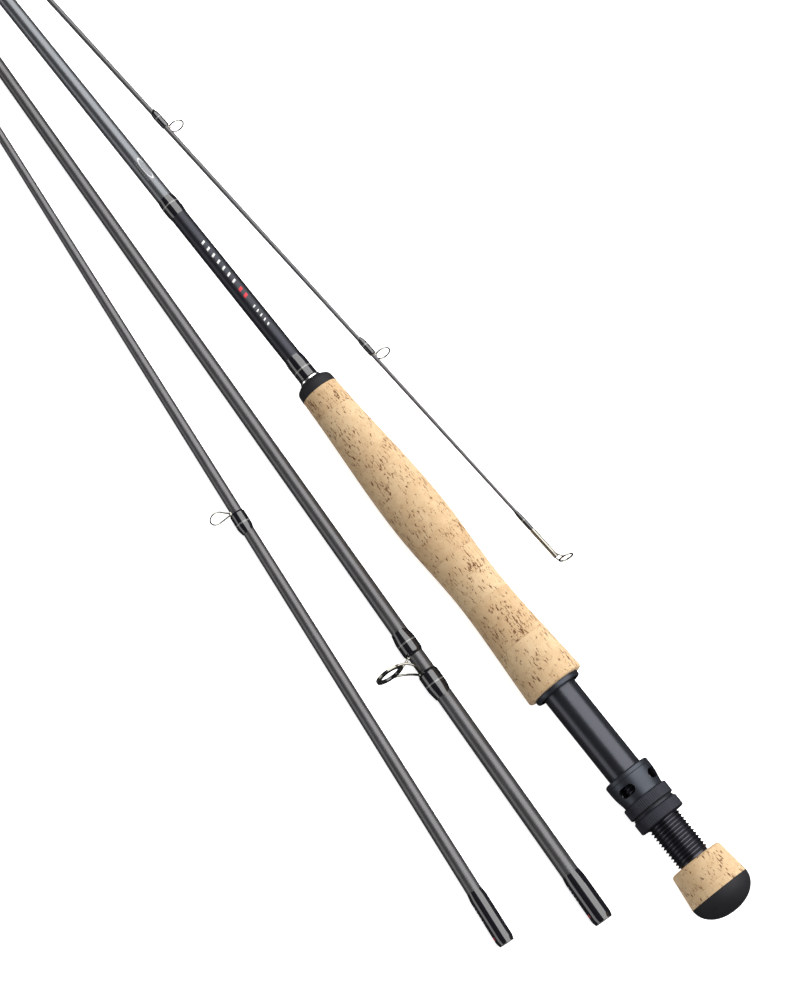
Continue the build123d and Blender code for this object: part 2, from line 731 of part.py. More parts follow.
def make_guide_set(stations, guide_stations, ring_radius, ring_rise, lean, twist, roll, rise, lift):
    """Single-foot guides along a section, each with its wrap and band."""
    made = []
    for station in guide_stations:
        guide = single_foot_guide(
            stations, station, guide_foot_length, ring_radius, ring_rise, lean, twist, roll)
        wrap_end = station - guide_bend_gap
        wrap, band = banded_wrap(
            stations, wrap_end - guide_wrap_length, wrap_end, rise,
            wrap_end - guide_band_place * guide_wrap_length,
            lift=lift, roll=roll, guide=guide, end_ramp=wrap_step)
        made.append((guide, wrap, band))
    return made


def make_tip_top():
    """The tube that caps the tip, with the line ring brazed on its end."""
    body = tube(tip_tube_start, tip_tube_end, tip_top_tube_radius, tip_end_radius)
    plug = rod_bar(tip_blank_end, tip_tube_end, tip_top_tube_radius)
    lean = math.radians(tip_top_lean)
    ring_circle = Pos(0, tip_top_ring_radius) * Circle(tip_top_wire_radius)
    ring = revolve(ring_circle, Axis.X)
    ring_x = tip_tube_end + tip_top_ring_ahead
    ring = Pos(ring_x, 0, tip_top_ring_height) * Rot(0, tip_top_lean, 0) * ring
    braces = Part()
    for side in (-1, 1):
        spread = tip_top_ring_radius * math.sin(math.radians(48))
        drop = tip_top_ring_radius * math.cos(math.radians(48))
        end = (ring_x - drop * math.sin(lean), spread * side, tip_top_ring_height - drop * math.cos(lean))
        start = (tip_tube_end - 2.6, (tip_top_tube_radius - 0.1) * side, 0)
        middle = (tip_tube_end - 0.5, (tip_top_tube_radius + 0.35) * side, 0.35)
        arc = ThreePointArc(start, middle, end)
        braces += sweep(Plane(origin=arc @ 0, z_dir=arc % 0) * Circle(tip_top_wire_radius * 0.8), path=arc)
    top = body + plug + rolled(ring + braces, tip_guides_roll)
    return top - envelope(tip_stations)


# ================================================================ laying the sections down
def lowest_of_ring(ring_height, ring_radius, lean, twist, roll):
    """How far a guide's wire ring reaches below the rod's axis."""
    lean, twist, roll = math.radians(lean), math.radians(twist), math.radians(roll)
    radial = ring_radius * math.cos(lean) * math.sin(roll)
    level = ring_radius * math.cos(twist) * math.cos(roll)
    return -ring_height * math.sin(roll) + math.hypot(radial, level) + guide_wire_radius


butt_drop = (grip_rear_radius - grip_swell_radius) / (grip_swell_from_rear - grip_rear_corner)
butt_height = grip_rear_radius + butt_drop * (grip_rear + grip_rear_corner)
second_low_station = stripper_station - stripper_gap / 2 - stripper_wrap_rear_length / 2
second_low_radius = radius_at(second_stations, second_low_station) + stripper_wrap_rise + rest_allowance
second_drop = (second_low_radius - second_plug_radius) / (section_length - second_low_station)
second_height = second_low_radius + second_drop * second_low_station
third_low = [(x - 6, radius_at(third_stations, x - 6) + tall_wrap_rise + rest_allowance)
             for x in third_guide_stations]
third_drop = (third_low[0][1] - third_low[1][1]) / (third_low[1][0] - third_low[0][0])
third_height = max(r + third_drop * x for x, r in third_low)
tip_low = [(x, lowest_of_ring(radius_at(tip_stations, x) + low_ring_rise, low_ring_radius,
                              low_guide_lean, low_guide_twist, tip_guides_roll))
           for x in tip_guide_stations]
tip_drop = (tip_low[0][1] - tip_low[-1][1]) / (tip_low[-1][0] - tip_low[0][0])
tip_height = max(reach + tip_drop * x for x, reach in tip_low)

second_turn = -math.degrees(math.asin((second_socket_place[1] - second_end_side) / section_length))
third_turn = -math.degrees(math.asin((third_socket_place[1] - third_end_side) / section_length))
tip_turn = math.atan2(-tip_beside_butt_end - tip_top_place[1], section_length - tip_top_place[0])
tip_socket_place = (tip_top_place[0] + section_length * math.cos(tip_turn),
                    tip_top_place[1] + section_length * math.sin(tip_turn))

butt_line = line_of(0, 0, 0, butt_height, butt_drop)
second_line = line_of(*second_socket_place, second_turn, second_height, second_drop)
third_line = line_of(*third_socket_place, third_turn, third_height, third_drop)
tip_line = line_of(*tip_socket_place, 180 + math.degrees(tip_turn), tip_height, tip_drop)

nodes = {}


def keep(line, name, *solids):
    """Lay a node's solids on its section's line and remember them under the node's name."""
    laid = [piece for solid in solids for piece in (line.location * solid).solids()]
    nodes[name] = Compound(laid)


def build_butt_section():
    """Everything that stays on the butt section, then the hood, washers and rings on its thread."""
    wrap_lower, wrap_upper, bands = make_butt_wraps()
    keep(butt_line, "butt_blank", make_butt_blank())
    keep(butt_line, "butt_cap", make_butt_cap())
    keep(butt_line, "butt_plug", make_butt_plug())
    keep(butt_line, "butt_cork", make_butt_cork())
    keep(butt_line, "seat_barrel", make_seat_barrel())
    for name, bushing in zip(("seat_bushing_rear", "seat_bushing_front"), make_seat_bushings()):
        keep(butt_line, name, bushing)
    keep(butt_line, "fixed_hood", make_fixed_hood())
    keep(butt_line, "cork_grip", make_cork_grip())
    keep(butt_line, "grip_front_ring", make_grip_front_ring())
    keep(butt_line, "winding_check", make_winding_check())
    keep(butt_line, "butt_wrap_lower", wrap_lower)
    keep(butt_line, "butt_wrap_upper", wrap_upper)
    keep(butt_line, "butt_bands", *bands)
    keep(butt_line, "lower_lock_ring", make_lock_ring(lower_ring_rear))
    keep(butt_line, "keyed_washer", make_keyed_washer())
    keep(butt_line, "slip_washer", make_slip_washer())
    keep(butt_line, "upper_lock_ring", make_lock_ring(upper_ring_rear))
    keep(butt_line, "sliding_hood", make_sliding_hood())


def keep_guides(line, prefix, made):
    """Name a section's guides and wraps from its socket end; return the bands."""
    for number, (guide, wrap, band) in enumerate(made, start=1):
        keep(line, f"{prefix}_guide_{number}", guide)
        keep(line, f"{prefix}_guide_wrap_{number}", wrap)
    return [band for guide, wrap, band in made]


def build_second_section():
    """Socket, stripping guide and single-foot guide of the second section."""
    keep(second_line, "second_blank", make_socket_blank(second_stations, second_wall, butt_plug_end_radius))
    keep(second_line, "second_ferrule_wrap", make_ferrule_wrap(
        second_stations, second_ferrule_wrap_length, second_ferrule_wrap_rise))
    frame, ring = stripping_guide(second_stations, guides_roll)
    keep(second_line, "stripper_frame", frame)
    keep(second_line, "stripper_ring", ring)
    rear_end = stripper_station - stripper_gap / 2
    front_start = stripper_station + stripper_gap / 2
    rear_wrap, rear_band = banded_wrap(
        second_stations, rear_end - stripper_wrap_rear_length, rear_end, stripper_wrap_rise,
        rear_end - stripper_wrap_rear_length / 2, lift=stripper_wrap_lift, roll=guides_roll, guide=frame,
        start_ramp=stripper_wrap_ramp, end_ramp=stripper_wrap_step)
    front_wrap, front_band = banded_wrap(
        second_stations, front_start, front_start + stripper_wrap_front_length, stripper_wrap_rise,
        front_start + stripper_wrap_front_length / 2, lift=stripper_wrap_lift, roll=guides_roll, guide=frame,
        start_ramp=stripper_wrap_step, end_ramp=stripper_wrap_ramp)
    keep(second_line, "stripper_wrap_rear", rear_wrap)
    keep(second_line, "stripper_wrap_front", front_wrap)
    made = make_guide_set(
        second_stations, second_guide_stations, tall_ring_radius, tall_ring_rise,
        tall_guide_lean, tall_guide_twist, guides_roll, tall_wrap_rise, tall_wrap_lift)
    bands = keep_guides(second_line, "second", made)
    keep(second_line, "second_bands", rear_band, front_band, *bands)


def build_third_section():
    """Socket and single-foot guides of the third section."""
    keep(third_line, "third_blank", make_socket_blank(third_stations, third_wall, second_plug_radius))
    keep(third_line, "third_ferrule_wrap", make_ferrule_wrap(
        third_stations, third_ferrule_wrap_length, third_ferrule_wrap_rise))
    made = make_guide_set(
        third_stations, third_guide_stations, tall_ring_radius, tall_ring_rise,
        tall_guide_lean, tall_guide_twist, guides_roll, tall_wrap_rise, tall_wrap_lift)
    bands = keep_guides(third_line, "third", made)
    keep(third_line, "third_bands", *bands)


def build_tip_section():
    """Socket, single-foot guides and tip-top of the tip section."""
    keep(tip_line, "tip_blank", make_tip_blank())
    keep(tip_line, "tip_ferrule_wrap", make_ferrule_wrap(
        tip_stations, tip_ferrule_wrap_length, tip_ferrule_wrap_rise))
    made = make_guide_set(
        tip_stations, tip_guide_stations, low_ring_radius, low_ring_rise,
        low_guide_lean, low_guide_twist, tip_guides_roll, low_wrap_rise, low_wrap_lift)
    bands = keep_guides(tip_line, "tip", made)
    keep(tip_line, "tip_top", make_tip_top())
    top_wrap, top_band = banded_wrap(
        tip_stations, tip_tube_start - tip_top_wrap_length, tip_tube_start, tip_top_wrap_rise,
        tip_tube_start - 0.5 * tip_top_wrap_length, end_ramp=wrap_step)
    keep(tip_line, "tip_top_wrap", top_wrap)
    keep(tip_line, "tip_bands", *bands, top_band)


def origin_shift():
    """The move that puts the origin at the middle of the box's bottom face."""
    box = Compound(list(nodes.values())).bounding_box()
    return Vector(-(box.min.X + box.max.X) / 2, -(box.min.Y + box.max.Y) / 2, -box.min.Z)


build_butt_section()
build_second_section()
build_third_section()
build_tip_section()
shift = origin_shift()
for name, shape in nodes.items():
    export_step(Pos(shift) * shape, f"parts/{name}.step")
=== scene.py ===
"""Looks of a four-piece fly rod, taken apart and laid out as a fan on a pale table."""
import json
import math

import bpy
from mathutils import Matrix, Vector


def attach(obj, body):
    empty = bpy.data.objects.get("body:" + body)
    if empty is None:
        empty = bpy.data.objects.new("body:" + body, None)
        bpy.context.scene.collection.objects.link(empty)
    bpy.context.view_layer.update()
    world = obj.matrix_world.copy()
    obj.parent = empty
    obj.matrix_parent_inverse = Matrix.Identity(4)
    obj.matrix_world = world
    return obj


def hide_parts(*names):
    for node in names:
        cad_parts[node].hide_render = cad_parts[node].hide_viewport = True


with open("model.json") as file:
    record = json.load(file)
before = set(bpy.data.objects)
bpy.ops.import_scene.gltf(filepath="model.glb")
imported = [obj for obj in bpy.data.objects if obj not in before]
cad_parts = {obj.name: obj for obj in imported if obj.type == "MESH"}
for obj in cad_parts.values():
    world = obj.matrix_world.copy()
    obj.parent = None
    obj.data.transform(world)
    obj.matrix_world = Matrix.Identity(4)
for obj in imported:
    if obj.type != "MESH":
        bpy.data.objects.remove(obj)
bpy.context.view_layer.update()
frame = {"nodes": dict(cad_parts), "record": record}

bl_info = {
    "name": "Fly rod",
    "version": (1, 0, 0),
    "blender": (4, 5, 0),
    "location": "3D View > Sidebar > Fly rod",
    "description": "Cork, lacquered carbon, varnished wraps and anodised reel seat of a fly rod",
    "category": "Object",
}

MM = 0.001
TOUCHING = 1e-5     # metres within which a face counts as lying on a plane
MERGING = 1e-6      # metres within which two points become one
mounts = {mount["name"]: mount for mount in frame["record"]["mounts"]}


# ---------------------------------------------------------------- the four sections' lines
class SectionLine:
    """A section's own axes: X from its butt-side end to its tip-side end, Z as near upright as
    can be."""

    def __init__(self, origin, along):
        self.origin = Vector(origin)
        self.along = Vector(along).normalized()
        self.side = Vector((0, 0, 1)).cross(self.along).normalized()
        self.up = self.along.cross(self.side)
        turn = Matrix((self.along, self.side, self.up)).transposed()
        self.turn = turn.to_euler("XYZ")
        self.matrix = Matrix.Translation(self.origin) @ turn.to_4x4()


def socket_line(name):
    """The line of a section that starts at its socket's mouth."""
    mouth = mounts[name]
    return SectionLine(mouth["pos_m"], -Vector(mouth["axis"]))


def butt_line():
    """The line of the butt section, found from the middle of the plug at its far end."""
    plug = mounts["butt_section_plug"]
    along = Vector(plug["axis"])
    plug_middle = bpy.context.scene.rod_sizes.plug_middle * MM
    return SectionLine(Vector(plug["pos_m"]) - along * plug_middle, along)


# ---------------------------------------------------------------- settings
def length(label, millimetres, description):
    """A size that the user may change, in millimetres."""
    return bpy.props.FloatProperty(
        name=label, default=millimetres, description=description, min=0.0)


def colour(label, hex_value, description):
    """A colour that the user may change, as sRGB hex."""
    return bpy.props.StringProperty(name=label, default=hex_value, description=description)


class RodSizes(bpy.types.PropertyGroup):
    """Sizes of the finished pieces, in millimetres along or across the butt section."""

    plug_middle: length(
        "Plug's middle", 694.0, "From the butt cap's end to the middle of the butt's plug, mm")
    seat_start: length("Seat tube's start", 20.0, "From the butt cap's end to the seat tube, mm")
    seat_end: length(
        "Seat tube's end", 139.1, "From the butt cap's end to the seat tube's hidden end, mm")
    thread_start: length("Thread's start", 29.4, "From the butt cap's end to the thread, mm")
    thread_end: length("Thread's end", 78.3, "From the butt cap's end to the thread's end, mm")
    thread_pitch: length("Thread pitch", 1.75, "Travel of a lock ring in one turn, mm")
    thread_root: length("Thread root radius", 7.6, "Radius of the bottom of the thread, mm")
    thread_crest: length("Thread crest radius", 8.45, "Radius of the top of the thread, mm")
    barrel_radius: length("Barrel radius", 8.54, "Radius of the smooth barrel, mm")
    groove_start: length(
        "Key groove's start", 28.90, "From the butt cap's end to the key groove, mm")
    groove_end: length(
        "Key groove's end", 81.40, "From the butt cap's end to the key groove's end, mm")
    groove_floor: length(
        "Key groove floor", 7.75, "From the seat's middle to the key groove's floor, mm")
    groove_width: length("Key groove width", 2.4, "Width of the groove that the tabs run in, mm")
    ring_bore: length("Lock ring bore", 8.53, "Radius of the lock rings' bores, mm")
    ring_radius: length("Lock ring radius", 11.78, "Outer radius of the lock rings, mm")
    ring_width: length("Lock ring width", 6.1, "Length of a lock ring along the seat, mm")
    ring_chamfer: length("Lock ring chamfer", 0.5, "Chamfer at both ends of a lock ring, mm")
    lower_ring_start: length(
        "Lower ring's start", 51.6, "From the butt cap's end to the lower lock ring, mm")
    upper_ring_start: length(
        "Upper ring's start", 59.25, "From the butt cap's end to the upper lock ring, mm")
    knurl_depth: length("Knurl depth", 0.16, "Depth of the grooves in a lock ring's grip, mm")
    cork_ring: length(
        "Cork ring", 12.65, "Thickness of the cork rings that the grip is glued up from, mm")
    grip_rear: length("Grip's rear end", 129.3, "From the butt cap's end to the grip, mm")
    tape_pitch: length(
        "Tape pitch", 1.2, "Spacing of the marks that the shrink tape leaves on a blank, mm")
    label_start: length(
        "Label zone's start", 327.0, "From the butt cap's end to the matte zone, mm")
    label_end: length(
        "Label zone's end", 415.7, "From the butt cap's end to the matte zone's end, mm")
    label_radius: length("Label radius", 4.25, "Radius of the blank where it is printed, mm")


class RodColours(bpy.types.PropertyGroup):
    """Colours of the finishes, as sRGB hex."""

    carbon: colour("Carbon", "#474647", "Blanks of the three upper sections")
    carbon_pale: colour("Carbon, pale", "#5D5F62", "Lacquered upper part of the butt blank")
    label_zone: colour("Label zone", "#2B2C31", "Matte part of the butt blank")
    print_white: colour("White print", "#9C9C9A", "Printed bars")
    print_red: colour("Red print", "#8E2830", "Printed accent")
    cork_pale: colour("Cork, pale", "#AE9878", "Most of the cork")
    cork_tan: colour("Cork, tan", "#9D815F", "Darker growth in the cork")
    cork_pit: colour("Cork pits", "#5A3A22", "Pits and lenticels in the cork")
    rubber: colour("Rubber", "#131316", "Butt cap and the grip's front ring")
    barrel: colour("Barrel", "#2E2F34", "Black anodised seat tube")
    # painted shade: the thread belongs to the same black anodised seat tube as the barrel, and this
    # darker copy of the barrel's colour stands in for the shade in its grooves
    thread: colour(
        "Seat thread", "#1A1A20", "Black anodised thread, seldom touched by light in its grooves")
    hood: colour("Hoods", "#2C2F35", "Dark grey anodised hoods")
    ring: colour("Lock rings", "#202127", "Black anodised lock rings")
    washer: colour("Washer", "#1E1E1E", "Plastic slip washer")
    check: colour("Winding check", "#E8E8E6", "Bright ring in front of the grip")
    varnish: colour("Wraps", "#08080C", "Black thread under varnish")
    metallic_thread: colour("Metallic thread", "#6A6A68", "Bands wound into the wraps")
    wire: colour("Guide wire", "#87847C", "Chromed wire")
    ceramic: colour("Ceramic", "#0C0C0E", "Ring in the stripping guide")
    filler: colour("Filler", "#A79C82", "Hidden bushings and plug")


class StageSettings(bpy.types.PropertyGroup):
    """The camera, the lights and the table."""

    camera_place: bpy.props.FloatVectorProperty(
        name="Camera place", default=(-0.44011, -0.0005, 1.40016), subtype="XYZ", unit="LENGTH",
        description="Where the camera stands, in metres")
    camera_view: bpy.props.FloatVectorProperty(
        name="Camera view", default=(0.17039, -0.01555, -0.98525), subtype="DIRECTION",
        description="The direction that the camera looks in")
    camera_up: bpy.props.FloatVectorProperty(
        name="Camera up", default=(0.76924, -0.62279, 0.14286), subtype="DIRECTION",
        description="The direction that is up in the picture")
    lens: bpy.props.FloatProperty(
        name="Lens", default=109.245, description="Focal length on a 36 mm sensor, mm")
    table_size: bpy.props.FloatProperty(
        name="Table size", default=12.0, unit="LENGTH", description="Width of the pale table")
    key_power: bpy.props.FloatProperty(
        name="Key light", default=70.0, unit="POWER",
        description="Power of the big softbox beside the butt")
    fill_power: bpy.props.FloatProperty(
        name="Fill light", default=13.0, unit="POWER",
        description="Power of the low softbox on the far side")
    table_glow: bpy.props.FloatProperty(
        name="Table glow", default=0.8,
        description="Light that the translucent white table gives from below")
    room: bpy.props.FloatProperty(
        name="Room light", default=0.06, description="Strength of the dim room's light")


# ---------------------------------------------------------------- small helpers
def linear(hex_value):
    """An sRGB hex colour as linear red, green, blue and alpha."""
    parts = [int(hex_value[i:i + 2], 16) / 255 for i in (1, 3, 5)]
    return [c / 12.92 if c <= 0.04045 else ((c + 0.055) / 1.055) ** 2.4 for c in parts] + [1.0]


MATH = "ShaderNodeMath"
MIX = "ShaderNodeMix"
NOISE = "ShaderNodeTexNoise"
# a colour Mix's inputs: how much of the second colour, the first colour, the second colour
SHARE, UNDER, OVER = 0, 6, 7


def add_node(tree, kind, inputs=None, **settings):
    """Adds a shader node with its settings, input values and links. A node given as an input's
    value is linked by its own first live output."""
    node = tree.nodes.new(kind)
    for name, value in settings.items():
        setattr(node, name, value)
    for name, value in (inputs or {}).items():
        if isinstance(value, bpy.types.Node):
            value = next(socket for socket in value.outputs if socket.enabled)
        if isinstance(value, bpy.types.NodeSocket):
            tree.links.new(value, node.inputs[name])
        else:
            node.inputs[name].default_value = value
    return node


def new_material(name):
    """An empty node material."""
    material = bpy.data.materials.new(name)
    material.use_nodes = True
    material.node_tree.nodes.clear()
    return material, material.node_tree


def section_coordinates(tree, line):
    """Object coordinates turned to a section's own axes, in metres."""
    place = add_node(tree, "ShaderNodeTexCoord")
    return add_node(tree, "ShaderNodeMapping", {
        "Vector": place.outputs["Object"], "Location": line.origin, "Rotation": line.turn},
        vector_type="TEXTURE")


def dress(material, names):
    """Gives CAD nodes a material."""
    for name in names:
        slots = frame["nodes"][name].data.materials
        slots.clear()
        slots.append(material)


def wraps_on(prefixes):
    """The thread wraps whose names start with one of the prefixes."""
    return [name for name in sorted(frame["nodes"]) if name.startswith(prefixes) and "wrap" in name]


# ---------------------------------------------------------------- materials
def tape_marks(tree, parts):
    """The rings that shrink tape leaves on a blank: a wave that winds on as a spiral."""
    sizes = bpy.context.scene.rod_sizes
    angle = add_node(tree, MATH, {0: parts.outputs["Y"], 1: parts.outputs["Z"]},
                     operation="ARCTAN2")
    turns = add_node(tree, MATH, {0: angle, 1: 2 * math.pi}, operation="DIVIDE")
    phase = add_node(tree, MATH, {0: parts.outputs["X"], 1: 1 / (sizes.tape_pitch * MM), 2: turns},
                     operation="MULTIPLY_ADD")
    radians = add_node(tree, MATH, {0: phase, 1: 2 * math.pi}, operation="MULTIPLY")
    return add_node(tree, MATH, {0: radians}, operation="SINE")


def finish_carbon(tree, tone, height, roughness, bump_depth, metallic):
    """The shader of a lacquered blank: flakes of metal in a thin clear lacquer."""
    bump = add_node(tree, "ShaderNodeBump", {
        "Height": height, "Strength": 1.0, "Distance": bump_depth * MM})
    shader = add_node(tree, "ShaderNodeBsdfPrincipled", {
        "Base Color": tone, "Roughness": roughness, "Normal": bump, "Metallic": metallic})
    add_node(tree, "ShaderNodeOutputMaterial", {"Surface": shader})


def lacquered_carbon(name, line):
    """Carbon laminate, rolled, taped and baked, then lacquered without sanding: a satin dark grey
    with fine rings where the shrink tape's edges lay, and a long soft highlight."""
    colours = bpy.context.scene.rod_colours
    material, tree = new_material(name)
    local = section_coordinates(tree, line)
    parts = add_node(tree, "ShaderNodeSeparateXYZ", {"Vector": local})
    marks = tape_marks(tree, parts)
    patches = add_node(tree, NOISE, {
        "Vector": local, "Scale": 1 / (9 * MM), "Detail": 4.0, "Roughness": 0.6})
    share = add_node(tree, MATH, {0: marks, 1: 0.16, 2: patches}, operation="MULTIPLY_ADD")
    dark = linear(colours.carbon)
    pale = [value * 1.5 for value in dark[:3]] + [1.0]
    tone = add_node(tree, MIX, {SHARE: share, UNDER: dark, OVER: pale}, data_type="RGBA")
    roughness = add_node(tree, MATH, {0: patches, 1: 0.10, 2: 0.31}, operation="MULTIPLY_ADD")
    # the laminate steps by a few hundredths of a millimetre at each tape edge
    height = add_node(tree, MATH, {0: marks, 1: 0.5, 2: patches}, operation="MULTIPLY_ADD")
    finish_carbon(tree, tone, height, roughness, 0.012, 0.7)
    return material


def printed_carbon(name, line):
    """The butt blank: the same laminate, sanded and sprayed. A pale metallic lacquer above the
    upper wrap, a matte charcoal zone below it that carries the print."""
    sizes = bpy.context.scene.rod_sizes
    colours = bpy.context.scene.rod_colours
    material, tree = new_material(name)
    local = section_coordinates(tree, line)
    parts = add_node(tree, "ShaderNodeSeparateXYZ", {"Vector": local})
    marks = tape_marks(tree, parts)
    # metal flakes in the lacquer: specks about 0.4 mm across
    flakes = add_node(tree, NOISE, {"Vector": local, "Scale": 1 / (0.4 * MM), "Detail": 2.0})
    patches = add_node(tree, NOISE, {"Vector": local, "Scale": 1 / (11 * MM), "Detail": 3.0})
    middle = (sizes.label_start + sizes.label_end) / 2 * MM
    half = (sizes.label_end - sizes.label_start) / 2 * MM
    zone = add_node(tree, MATH, {0: parts.outputs["X"], 1: middle, 2: half}, operation="COMPARE")
    tone = add_node(tree, MIX, {
        SHARE: zone, UNDER: linear(colours.carbon_pale), OVER: linear(colours.label_zone)},
        data_type="RGBA")
    speckle = add_node(tree, MATH, {0: flakes, 1: 0.24, 2: 0.88}, operation="MULTIPLY_ADD")
    tone = add_node(tree, MIX, {SHARE: 1.0, UNDER: tone, OVER: speckle},
                    data_type="RGBA", blend_type="MULTIPLY")
    tone = add_print(tree, parts, tone)
    matte = add_node(tree, MATH, {0: zone, 1: 0.08, 2: 0.30}, operation="MULTIPLY_ADD")
    roughness = add_node(tree, MATH, {0: patches, 1: 0.06, 2: matte}, operation="MULTIPLY_ADD")
    height = add_node(tree, MATH, {0: marks, 1: 0.2, 2: flakes}, operation="MULTIPLY_ADD")
    finish_carbon(tree, tone, height, roughness, 0.006, 0.8)
    return material


def add_print(tree, parts, tone):
    """Plain slanted bars printed along the top of the butt blank, a red pair among them, and an
    empty oval with a row of dashes beside it."""
    sizes = bpy.context.scene.rod_sizes
    colours = bpy.context.scene.rod_colours
    angle = add_node(tree, MATH, {0: parts.outputs["Y"], 1: parts.outputs["Z"]},
                     operation="ARCTAN2")
    # arc length round the blank in millimetres, zero at its top
    arc = add_node(tree, MATH, {0: angle, 1: sizes.label_radius}, operation="MULTIPLY")
    along = add_node(tree, MATH, {0: parts.outputs["X"], 1: MM}, operation="DIVIDE")
    slant = 0.35
    slanted = add_node(tree, MATH, {0: arc, 1: slant, 2: along}, operation="MULTIPLY_ADD")
    rows = [
        # start, end, place round the blank, half height, pitch, share that is ink, colour
        (371.0, 399.0, -1.0, 1.0, 4.0, 0.28, colours.print_white),
        (361.6, 369.4, -1.0, 1.1, 3.9, 0.42, colours.print_red),
        (344.0, 357.4, -1.0, 0.7, 2.7, 0.28, colours.print_white),
        (437.8, 449.2, 0.9, 0.26, 1.3, 0.72, colours.print_white),
    ]
    for start, end, place, half_height, pitch, ink, hex_value in rows:
        inside = add_node(tree, MATH, {0: slanted, 1: (start + end) / 2, 2: (end - start) / 2},
                          operation="COMPARE")
        across = add_node(tree, MATH, {0: arc, 1: place, 2: half_height}, operation="COMPARE")
        row = add_node(tree, MATH, {0: inside, 1: across}, operation="MULTIPLY")
        cycle = add_node(tree, MATH, {0: slanted, 1: pitch}, operation="DIVIDE")
        cycle = add_node(tree, MATH, {0: cycle}, operation="FRACT")
        bars = add_node(tree, MATH, {0: cycle, 1: ink}, operation="LESS_THAN")
        mask = add_node(tree, MATH, {0: row, 1: bars}, operation="MULTIPLY")
        tone = add_node(tree, MIX, {SHARE: mask, UNDER: tone, OVER: linear(hex_value)},
                        data_type="RGBA")
    oval_middle = (443.5, -1.8, 0)
    oval_half_axes = (6.4, 1.6, 1)
    line_middle, line_half_width = 0.92, 0.06     # as shares of the oval's half axes
    oval = add_node(tree, "ShaderNodeCombineXYZ", {"X": along, "Y": arc})
    oval = add_node(tree, "ShaderNodeMapping", {
        "Vector": oval, "Location": oval_middle, "Scale": oval_half_axes}, vector_type="TEXTURE")
    reach = add_node(tree, "ShaderNodeVectorMath", {0: oval}, operation="LENGTH")
    outline = add_node(tree, MATH, {
        0: reach.outputs["Value"], 1: line_middle, 2: line_half_width}, operation="COMPARE")
    return add_node(tree, MIX, {SHARE: outline, UNDER: tone, OVER: linear(colours.print_white)},
                    data_type="RGBA")


def cork(name, line):
    """Natural cork in glued-up rings, turned and sanded: pale and dry, with dark pits and
    lenticels that run lengthwise and stop at each ring's joint."""
    sizes = bpy.context.scene.rod_sizes
    colours = bpy.context.scene.rod_colours
    material, tree = new_material(name)
    local = section_coordinates(tree, line)
    parts = add_node(tree, "ShaderNodeSeparateXYZ", {"Vector": local})
    along = add_node(tree, MATH, {0: parts.outputs["X"], 1: sizes.grip_rear * MM},
                     operation="SUBTRACT")
    ring = add_node(tree, MATH, {0: along, 1: sizes.cork_ring * MM}, operation="DIVIDE")
    number = add_node(tree, MATH, {0: ring}, operation="FLOOR")
    shift = add_node(tree, "ShaderNodeVectorMath", {0: (0.37, 0.71, 0.0), "Scale": number},
                     operation="SCALE")
    moved = add_node(tree, "ShaderNodeVectorMath", {0: local, 1: shift}, operation="ADD")
    tint = add_node(tree, "ShaderNodeTexWhiteNoise", {"W": number}, noise_dimensions="1D")
    # long pits: about 3 mm along the rod and 0.8 mm across it
    stretch = add_node(tree, "ShaderNodeMapping", {
        "Vector": moved, "Scale": (2.6 * MM, 0.8 * MM, 0.8 * MM)}, vector_type="TEXTURE")
    pits = add_node(tree, NOISE, {
        "Vector": stretch, "Scale": 1.0, "Detail": 3.0, "Roughness": 0.62, "Distortion": 0.6})
    # where pits gather: patches about 10 mm across
    gather = add_node(tree, NOISE, {"Vector": moved, "Scale": 1 / (10 * MM), "Detail": 2.0})
    level = add_node(tree, MATH, {0: gather, 1: 0.34, 2: pits}, operation="MULTIPLY_ADD")
    pit = add_node(tree, "ShaderNodeMapRange", {"Value": level, "From Min": 0.75, "From Max": 0.81},
                   interpolation_type="SMOOTHSTEP")
    # fine grain: cells about 0.6 mm across, on growth patches about 5 mm across
    grain = add_node(tree, NOISE, {
        "Vector": moved, "Scale": 1 / (0.6 * MM), "Detail": 4.0, "Roughness": 0.7})
    growth = add_node(tree, NOISE, {
        "Vector": moved, "Scale": 1 / (5 * MM), "Detail": 5.0, "Roughness": 0.65})
    shade = add_node(tree, MATH, {0: grain, 1: 1.1, 2: growth}, operation="MULTIPLY_ADD")
    shade = add_node(tree, MATH, {0: tint, 1: 0.3, 2: shade}, operation="MULTIPLY_ADD")
    shade = add_node(tree, "ShaderNodeMapRange", {"Value": shade, "From Min": 0.8, "From Max": 1.5})
    tone = add_node(tree, MIX, {
        SHARE: shade, UNDER: linear(colours.cork_pale), OVER: linear(colours.cork_tan)},
        data_type="RGBA")
    # the glue line: its width as a share of a ring, and how much it darkens the cork
    glue_share, glue_darkness = 0.02, 0.14
    joint = add_node(tree, MATH, {0: ring}, operation="FRACT")
    joint = add_node(tree, MATH, {0: joint, 1: glue_share}, operation="LESS_THAN")
    joint = add_node(tree, MATH, {0: joint, 1: glue_darkness}, operation="MULTIPLY")
    tone = add_node(tree, MIX, {SHARE: joint, UNDER: tone, OVER: linear(colours.cork_pit)},
                    data_type="RGBA")
    tone = add_node(tree, MIX, {SHARE: pit, UNDER: tone, OVER: linear(colours.cork_pit)},
                    data_type="RGBA")
    height = add_node(tree, MATH, {0: pit, 1: -1.0, 2: 1.0}, operation="MULTIPLY_ADD")
    height = add_node(tree, MATH, {0: grain, 1: 0.25, 2: height}, operation="MULTIPLY_ADD")
    bump = add_node(tree, "ShaderNodeBump", {
        "Height": height, "Strength": 0.5, "Distance": 0.3 * MM})
    shader = add_node(tree, "ShaderNodeBsdfPrincipled", {
        "Base Color": tone, "Roughness": 0.82, "Specular IOR Level": 0.25, "Normal": bump})
    add_node(tree, "ShaderNodeOutputMaterial", {"Surface": shader})
    return material


